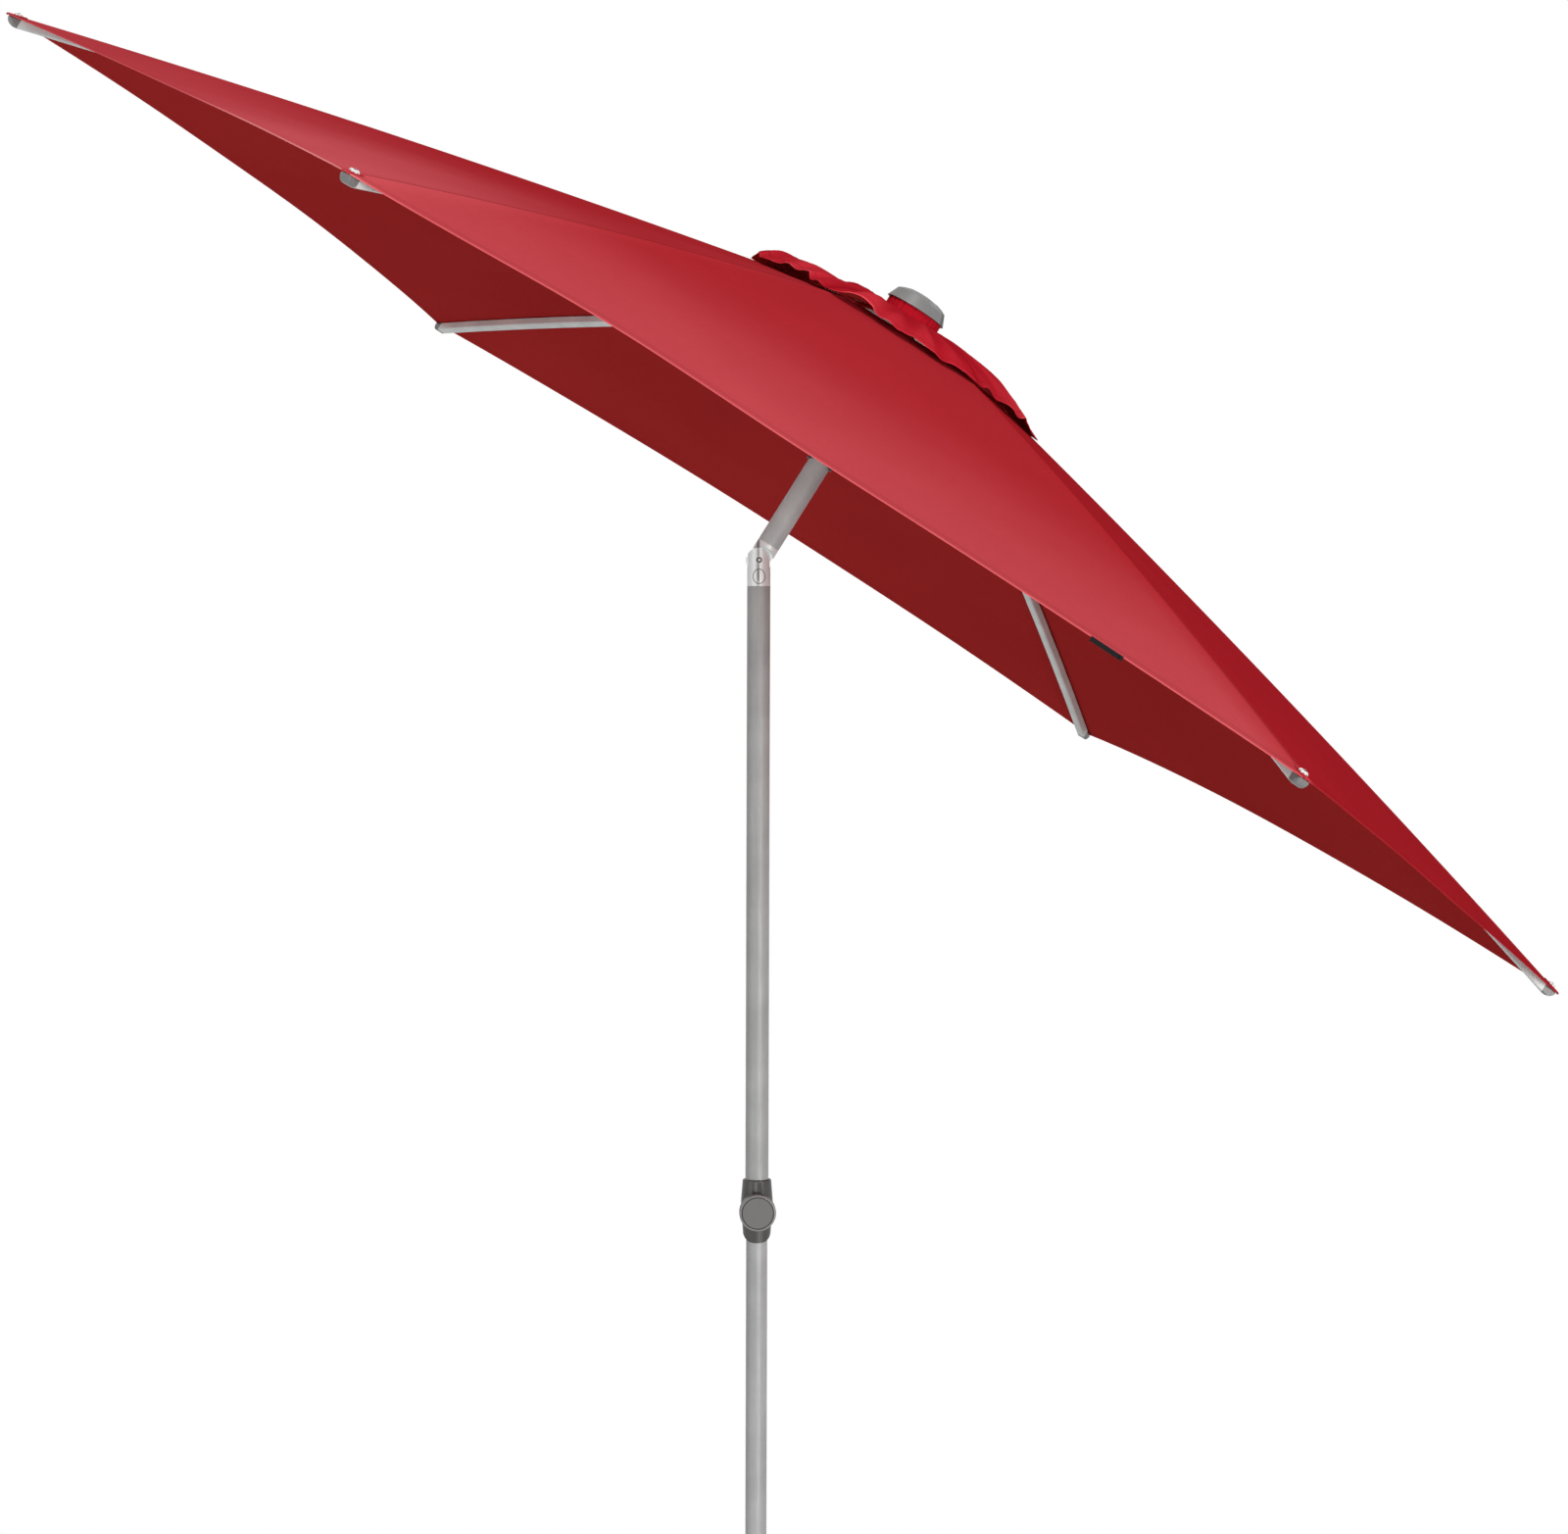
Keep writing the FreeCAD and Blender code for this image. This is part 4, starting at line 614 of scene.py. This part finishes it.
HOOD_RIDGES = (  # over each rib: radius, and height above the rib's line
    ((NECK_R, 0.0080), (0.070, 0.0165), (0.120, 0.0245), (0.173, 0.0275), (0.215, 0.0225), (0.245, 0.0150),
     (0.265, 0.0085), (HOOD_R, 0.0045)),
    ((NECK_R, 0.0055), (0.120, 0.0130), (0.210, 0.0130), (HOOD_R, 0.0066)),
    ((NECK_R, 0.0055), (0.120, 0.0130), (0.210, 0.0130), (HOOD_R, 0.0066)),
    ((NECK_R, 0.0050), (0.066, 0.0070), (0.106, 0.0235), (0.144, 0.0130), (0.175, 0.0165), (0.215, 0.0255),
     (0.255, 0.0250), (HOOD_R, 0.0070)),
    ((NECK_R, 0.0055), (0.100, 0.0145), (0.170, 0.0165), (0.235, 0.0145), (HOOD_R, 0.0062)),
    ((NECK_R, 0.0055), (0.100, 0.0160), (0.170, 0.0190), (0.235, 0.0160), (HOOD_R, 0.0062)),
)
HOOD_REACH = (0.283, 0.276, 0.276, 0.268, 0.279, 0.279)  # of the corner over each rib
HOOD_SWELLS = (  # of each panel's free hem: place between ribs, width, height, where it starts
    ((-0.05, 0.28, 0.006, 0.35), (0.58, 0.18, 0.009, 0.50)),
    ((-0.60, 0.20, 0.008, 0.45), (0.0, 0.25, 0.006, 0.35), (0.58, 0.18, 0.009, 0.50)),
    ((-0.60, 0.20, 0.008, 0.45), (0.05, 0.28, 0.006, 0.35)),
    ((-0.80, 0.12, 0.010, 0.60), (0.02, 0.22, 0.013, 0.35), (0.42, 0.14, 0.006, 0.50),
     (0.78, 0.10, 0.005, 0.60)),
    ((-0.62, 0.20, 0.017, 0.35), (-0.22, 0.12, 0.009, 0.35), (0.30, 0.14, 0.004, 0.40),
     (0.66, 0.12, 0.005, 0.30)),
    ((-0.66, 0.14, 0.006, 0.60), (0.02, 0.18, 0.007, 0.50), (0.40, 0.18, 0.011, 0.50)),
)
HOOD_HIGHLIGHT_H = 0.012  # height of loose cloth that gets the full painted highlight
HOOD_FOLDS = (0.3, 0.3, 0.3, 1.0, 1.0, 1.0)  # how deep each panel's folds are
WIDE_FOLD_H, NARROW_FOLD_H, GATHER_H = 0.0062, 0.0034, 0.0018  # the gathers are at the neck
HOOD_CORNER_W = 0.10  # share of the way to the middle of the panel over which a corner runs out
HOOD_ACROSS = 30  # points from the rib to the middle of a panel
HOOD_SCALLOP = 0.005  # how far the wavy hem goes in and out


def through(stations, r):
    """A smooth line through stations of radius and height."""
    at, height = np.array(stations).T
    slope = np.gradient(height, at)
    i = np.clip(np.searchsorted(at, r) - 1, 0, len(at) - 2)
    span = at[i + 1] - at[i]
    t = np.clip((r - at[i]) / span, 0.0, 1.0)
    return (height[i] * (1 + 2 * t) * (1 - t) ** 2 + slope[i] * span * t * (1 - t) ** 2
            + height[i + 1] * t * t * (3 - 2 * t) - slope[i + 1] * span * t * t * (1 - t))


def crease(x):
    """Rounded valleys between sharp ridges one apart."""
    return (1 - np.abs(np.sin(math.pi * x))) ** 1.5


def hood_height(panel, v, s, r):
    """Loose cloth between two ribs: v is -1 at the first and 1 at the next, s 0 at the neck and 1
    at the hem."""
    towards = smooth((1 + v) / 2)
    ridge, next_ridge = HOOD_RIDGES[panel], HOOD_RIDGES[(panel + 1) % RIBS]
    lined = rib_line(r) + (through(ridge, r) * (1 - towards) + through(next_ridge, r) * towards)
    swell = sum(rise * np.exp(-((v - at) / width) ** 2) * smooth((s - start) / (1 - start))
                for at, width, rise, start in HOOD_SWELLS[panel])
    phase = 0.37 * panel
    folds = (WIDE_FOLD_H * crease(1.15 * v + 0.40 * s + phase) * s ** 0.8
             + NARROW_FOLD_H * crease(2.3 * v - 0.9 * s + 2 * phase) * s
             + GATHER_H * np.sin(2 * math.pi * 3.0 * v + phase) * np.exp(-s / 0.25))
    loose = (swell + HOOD_FOLDS[panel] * folds) * (1 - v ** 6)
    # the second value is a painted highlight: paler cloth where the folds and swells stand up
    return lined + loose, np.clip(loose / HOOD_HIGHLIGHT_H, 0.0, 1.0)


def make_hood(k):
    """The hood's two half panels beside a rib, wrinkled and with a wavy hem."""
    s = np.concatenate([np.linspace(0, 0.94, 34), [0.955, 0.97, 0.985, 0.993, 1.0]])
    columns, uvs, painted_sheens = [], [], []
    for side in (-1, 1):
        shares = [i / HOOD_ACROSS for i in range(HOOD_ACROSS + 1)]
        for share in (shares[::-1] if side < 0 else shares[1:]):
            panel, v = (k, share - 1) if side > 0 else ((k - 1) % RIBS, 1 - share)
            wave = np.sin(2 * math.pi * 1.6 * v + 2.1 * panel + 1.0)
            scallop = HOOD_SCALLOP * (1 - v ** 6) * wave * s ** 4
            reach = HOOD_R + (HOOD_REACH[k] - HOOD_R) * math.exp(-(share / HOOD_CORNER_W) ** 2)
            r = NECK_R + WRAP_GAP + (reach - NECK_R - WRAP_GAP) * s + scallop
            y = share * r * ACROSS
            x = r - y * math.tan(HALF)
            a, fold_highlight = hood_height(panel, v, s, r)
            painted_sheens.append(fold_highlight)
            inset = (HOOD_R - NECK_R) * (1 - s)
            columns.append(np.stack([x, side * y, a], -1))
            uvs.append(np.stack([side * y, inset], -1))
    top = head_points(np.array(columns), k * 2 * HALF)
    return closed_sheet(f"hood_{k}", top, top - UP * CLOTH_T, np.array(uvs), np.array(painted_sheens),
                        (mat_hood, mat_under))


NECK_FOLD_H, NECK_RIPPLE_H = 0.0011, 0.0009


def make_neck():
    """Cloth gathered round the hub under the cap."""
    turns = np.linspace(0, 2 * math.pi, 289)
    heights = np.linspace(NECK_LOW, NECK_HIGH, 9)
    tt, hh = np.meshgrid(turns, heights, indexing="ij")
    fold = NECK_FOLD_H * np.abs(np.sin(13.5 * tt)) + NECK_RIPPLE_H * np.abs(np.sin(8 * tt + 1.0))
    r = NECK_R + WRAP_GAP + fold
    outer = np.stack([r * np.cos(tt), r * np.sin(tt), CROWN_A + hh], -1)
    r_in = r - CLOTH_T
    inner = np.stack([r_in * np.cos(tt), r_in * np.sin(tt), CROWN_A + hh], -1)
    uv = np.stack([0.02 + tt * NECK_R, 0.03 + hh], -1)
    return closed_sheet("hood_neck_band", head_points(outer, 0.0), head_points(inner, 0.0), uv,
                        np.zeros_like(tt), (mat_hood, mat_under))


ROSETTE_INSET = 0.016  # from the canopy's corner
ROSETTE_R = 0.0070
ROSETTE_H = 0.0056
ROSETTE_PETALS = 6
PETAL_OUT, PETAL_DIP = 0.13, 0.22  # how far the petals reach out, and the valleys dip between them
ROSETTE_RINGS = (  # share of its radius, share of its height, and 1 in the dark eye
    (0.0, 1.00, 0), (0.16, 0.98, 0), (0.24, 0.92, 1), (0.40, 0.76, 1), (0.46, 0.80, 0),
    (0.70, 0.78, 0), (0.90, 0.56, 0), (1.0, 0.26, 0), (0.97, 0.0, 0))
LABEL_L, LABEL_W, LABEL_T = 0.051, 0.007, 0.0008
LABEL_AT = 0.42  # along the hem, from the rib to the middle of the panel
LABEL_RIB = 5
LABEL_GAP = 0.0003  # from the hem
LABEL_PUCKER, LABEL_PUCKER_L = 0.0002, 0.0085
LABEL_CURL = 0.0010  # of its free edge
LABEL_LINES = (0.0, 0.0004, 0.0020, 0.0035, 0.0050, 0.0066, LABEL_W)  # down from the hem


def make_rosette(k):
    """White flower button that holds the cloth's corner, with a dark eye."""
    turns = np.linspace(0, 2 * math.pi, 73)[:-1]
    verts, faces, which = [], [], []
    for share, height, _ in ROSETTE_RINGS:
        petal = 1 + PETAL_OUT * share * np.cos(ROSETTE_PETALS * turns)
        valley = 1 - PETAL_DIP * share * (1 - np.cos(ROSETTE_PETALS * turns)) / 2
        verts.append(np.stack([ROSETTE_R * share * petal * np.cos(turns),
                               ROSETTE_R * share * petal * np.sin(turns),
                               ROSETTE_H * height * valley], -1))
    count = len(turns)
    for i in range(len(ROSETTE_RINGS) - 1):
        for j in range(count):
            a, b = i * count + j, i * count + (j + 1) % count
            faces.append((a, a + count, b + count, b) if i else (a, a + count, b + count))
            which.append(ROSETTE_RINGS[i + 1][2])
    local = np.concatenate(verts)
    fall = math.atan(SLOPE)
    c, d = math.cos(fall), math.sin(fall)
    r = TIP_R - ROSETTE_INSET
    placed = np.stack([r + local[:, 0] * c + local[:, 2] * d, local[:, 1],
                       rib_line(r) + SEAM_RISE - local[:, 0] * d + local[:, 2] * c], -1)
    mesh = bpy.data.meshes.new(f"rosette_{k}")
    mesh.from_pydata([tuple(p) for p in head_points(placed, k * 2 * HALF)], [], faces)
    mesh.materials.append(mat_white)
    mesh.materials.append(mat_dark)
    mesh.polygons.foreach_set("material_index", which)
    mesh.polygons.foreach_set("use_smooth", [True] * len(faces))
    return add_object(f"rosette_{k}", mesh)


def make_label():
    """Narrow woven label sewn to the hem's edge, from which it hangs."""
    hem = hem_curve()
    at = round(LABEL_AT * (len(hem) - 1))
    here, ahead = hem[at], hem[at + 1] - hem[at]
    ahead = ahead / np.linalg.norm(ahead)
    out = np.array((ahead[1], -ahead[0]))
    out = -out if out[0] < 0 else out
    along = np.linspace(-LABEL_L / 2, LABEL_L / 2, 25)
    uu, dd = np.meshgrid(along, LABEL_LINES, indexing="ij")
    pucker = LABEL_PUCKER * np.sin(2 * math.pi * uu / LABEL_PUCKER_L)
    off = LABEL_GAP + pucker + LABEL_CURL * (dd / LABEL_W) ** 2
    x = here[0] + ahead[0] * uu + out[0] * off
    y = here[1] + ahead[1] * uu + out[1] * off
    r = here[0] + ahead[0] * uu + (here[1] + ahead[1] * uu) * math.tan(HALF)
    v = 1 - y / (r * ACROSS)
    a = rib_line(r) + panel_lift((LABEL_RIB - 1) % RIBS, v, np.ones_like(v)) + HEM_RISE - dd
    inner = np.stack([x, -y, a], -1)
    outer = inner + np.array((out[0], -out[1], 0.0)) * LABEL_T
    turn = LABEL_RIB * 2 * HALF
    return closed_sheet("hem_label", head_points(outer, turn), head_points(inner, turn),
                        np.stack([0.02 + uu, 0.02 + dd], -1), np.zeros_like(uu), (mat_label, mat_label))


TAB_W, TAB_L, TAB_T = 0.014, 0.030, 0.0010
TAB_R, TAB_DROP = 0.0022, 0.0006  # of its bend, and how far it hangs below that
TAB_RISE = 0.0013  # over the gore
TAB_BEND = math.radians(95.0)
TAB_CROWN = 0.0010  # its middle over its sides
TAB_TAPER = 0.35
# painted sheen on the tab, as on the hem of the gore
TAB_SHEEN = 0.4


def make_tip_tab(k):
    """End of the corner's pocket, turned down over the rib's end cap."""
    flat = np.linspace(-TAB_L, 0.0, 9)
    bend = np.linspace(0.0, TAB_BEND, 8)[1:]
    reach = np.concatenate([flat, TAB_R * np.sin(bend), [TAB_R + 0.0002, TAB_R]])
    drop = np.concatenate([0 * flat, TAB_R * (1 - np.cos(bend)), [TAB_R + TAB_DROP / 2, TAB_R + TAB_DROP]])
    wide = np.linspace(-1.0, 1.0, 9)
    tt, ww = np.meshgrid(np.arange(len(reach)), wide, indexing="ij")
    narrow = 1 - TAB_TAPER * smooth((tt - len(flat)) / (len(reach) - len(flat)))
    r = TIP_R + reach[tt]
    y = ww * narrow * TAB_W / 2
    a = rib_line(np.minimum(r, TIP_R)) - SLOPE * np.maximum(r - TIP_R, 0) - drop[tt] + SEAM_RISE + TAB_RISE
    a = a - TAB_CROWN * ww ** 4
    top = np.stack([r, y, a], -1)
    leans = np.minimum(drop[tt] / TAB_R, 1.0) * math.pi / 2
    inward = np.stack([-np.sin(leans), 0 * r, -np.cos(leans)], -1)
    turn = k * 2 * HALF
    uv = np.stack([0.02 + y, 0.02 - reach[tt] + TAB_L], -1)
    return closed_sheet(f"tip_tab_{k}", head_points(top, turn), head_points(top + inward * TAB_T, turn),
                        uv, np.full_like(r, TAB_SHEEN), (mat_cloth, mat_under))


for k in range(RIBS):
    gore, hood, strap = make_gore(k), make_hood(k), make_strap(k)
    for piece, solid in ((gore, f"canopy_gore_{k}"), (hood, f"hood_gore_{k}")):
        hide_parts(solid)
    for piece in (gore, hood, strap):
        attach(piece, f"rib_{k}")
    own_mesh(gore)
    rosette = make_rosette(k)
    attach(rosette, f"rib_{k}")
    tab = make_tip_tab(k)
    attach(tab, f"rib_{k}")
    if k == LABEL_RIB:
        label = make_label()
        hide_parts("edge_label")
        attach(label, f"rib_{k}")
neck = make_neck()
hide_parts("hood_neck")
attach(neck, "head")

# ---------------------------------------------------------------- stage
FLOOR_COLOUR, FLOOR_SEEN = (0.42, 0.42, 0.415), (0.55, 0.55, 0.55)
FLOOR_GLOW = 0.45  # to the camera and reflections, so that the lit floor is white there
FLOOR_R = 1.70
FLOOR_FADE_FROM = 1.05  # the shadow dies away from here to the floor's edge


def stage_material(name, colour):
    """Plain and pale; to the camera and to reflections it is white, with the object's shadow."""
    n = Nodes(name)
    seen = n.seen()
    tint = n.mix(seen, colour, FLOOR_SEEN)
    grain = n.noise(n.coords(), 60.0, 3.0)
    n.set(Base_Color=tint, Roughness=n.remap(grain, 0.3, 0.7, 0.85, 0.95), Specular_IOR_Level=0.1,
          Emission_Color=(1.0, 1.0, 1.0, 1.0), Emission_Strength=n.math("MULTIPLY", seen, FLOOR_GLOW))
    white = n.node("ShaderNodeEmission")
    length = n.node("ShaderNodeVectorMath", operation="LENGTH")
    n.link(n.coords(), length.inputs[0])
    out = n.node("ShaderNodeMixShader")
    edge = n.remap(length.outputs["Value"], FLOOR_FADE_FROM, FLOOR_R)
    n.link(n.math("MULTIPLY", seen, edge), out.inputs[0])
    n.link(n.shader.outputs[0], out.inputs[1])
    n.link(white.outputs[0], out.inputs[2])
    n.link(out.outputs[0], n.out.inputs["Surface"])
    return n.material


bpy.ops.mesh.primitive_circle_add(vertices=96, radius=FLOOR_R, fill_type="NGON")
floor = bpy.context.object
floor.name = "floor"
floor.data.materials.append(stage_material("floor_paint", FLOOR_COLOUR))

FILL = 0.34  # soft light from all round


def studio_world():
    """An even grey room that the camera, metal and glass see as white."""
    world = bpy.data.worlds.new("studio")
    bpy.context.scene.world = world
    world.use_nodes = True
    n = Nodes.of_tree(world.node_tree)
    back = world.node_tree.nodes["Background"]
    back.inputs["Color"].default_value = (1.0, 1.0, 1.0, 1.0)
    n.link(n.remap(n.seen(), 0.0, 1.0, FILL, 1.0), back.inputs["Strength"])


studio_world()


def lamp(name, at, aim, size, power):
    """A soft round lamp."""
    light = bpy.data.lights.new(name, "AREA")
    light.shape = "DISK"
    light.size = size
    light.energy = power
    obj = add_object(name, light)
    obj.location = at
    obj.rotation_euler = (Vector(aim) - Vector(at)).to_track_quat("-Z", "Y").to_euler()


LOW_AIM = (0.0, 0.0, 1.9)  # where the low lamps point, near the tilt's pivot
lamp("overhead", (-0.35, -6.6, 10.9), (0.2, 0.0, 2.1), 4.0, 610.0)
lamp("left", (-7.5, -6.0, 1.2), LOW_AIM, 3.0, 95.0)
lamp("front", (2.2, -10.0, 0.2), LOW_AIM, 3.5, 190.0)
lamp("right", (4.6, -8.6, 0.3), LOW_AIM, 3.0, 370.0)

# ---------------------------------------------------------------- camera
YAW, PITCH, ROLL = math.radians(2.161), math.radians(-1.834), math.radians(0.185)
CAMERA_AT = (-0.2086, -6.6533, 1.8603)
LENS = 93.17
forward = Vector((math.sin(YAW) * math.cos(PITCH), math.cos(YAW) * math.cos(PITCH), math.sin(PITCH)))
level_right = Vector((math.cos(YAW), -math.sin(YAW), 0.0))
level_up = level_right.cross(forward)
right = math.cos(ROLL) * level_right + math.sin(ROLL) * level_up
up = right.cross(forward)
camera_data = bpy.data.cameras.new("camera")
camera_data.lens = LENS
camera_data.sensor_width = 36.0
camera_data.sensor_fit = "HORIZONTAL"
camera = add_object("camera", camera_data)
camera.matrix_world = Matrix.Translation(CAMERA_AT) @ Matrix((right, up, -forward)).transposed().to_4x4()
bpy.context.scene.camera = camera
bpy.context.scene.view_settings.view_transform = "Standard"
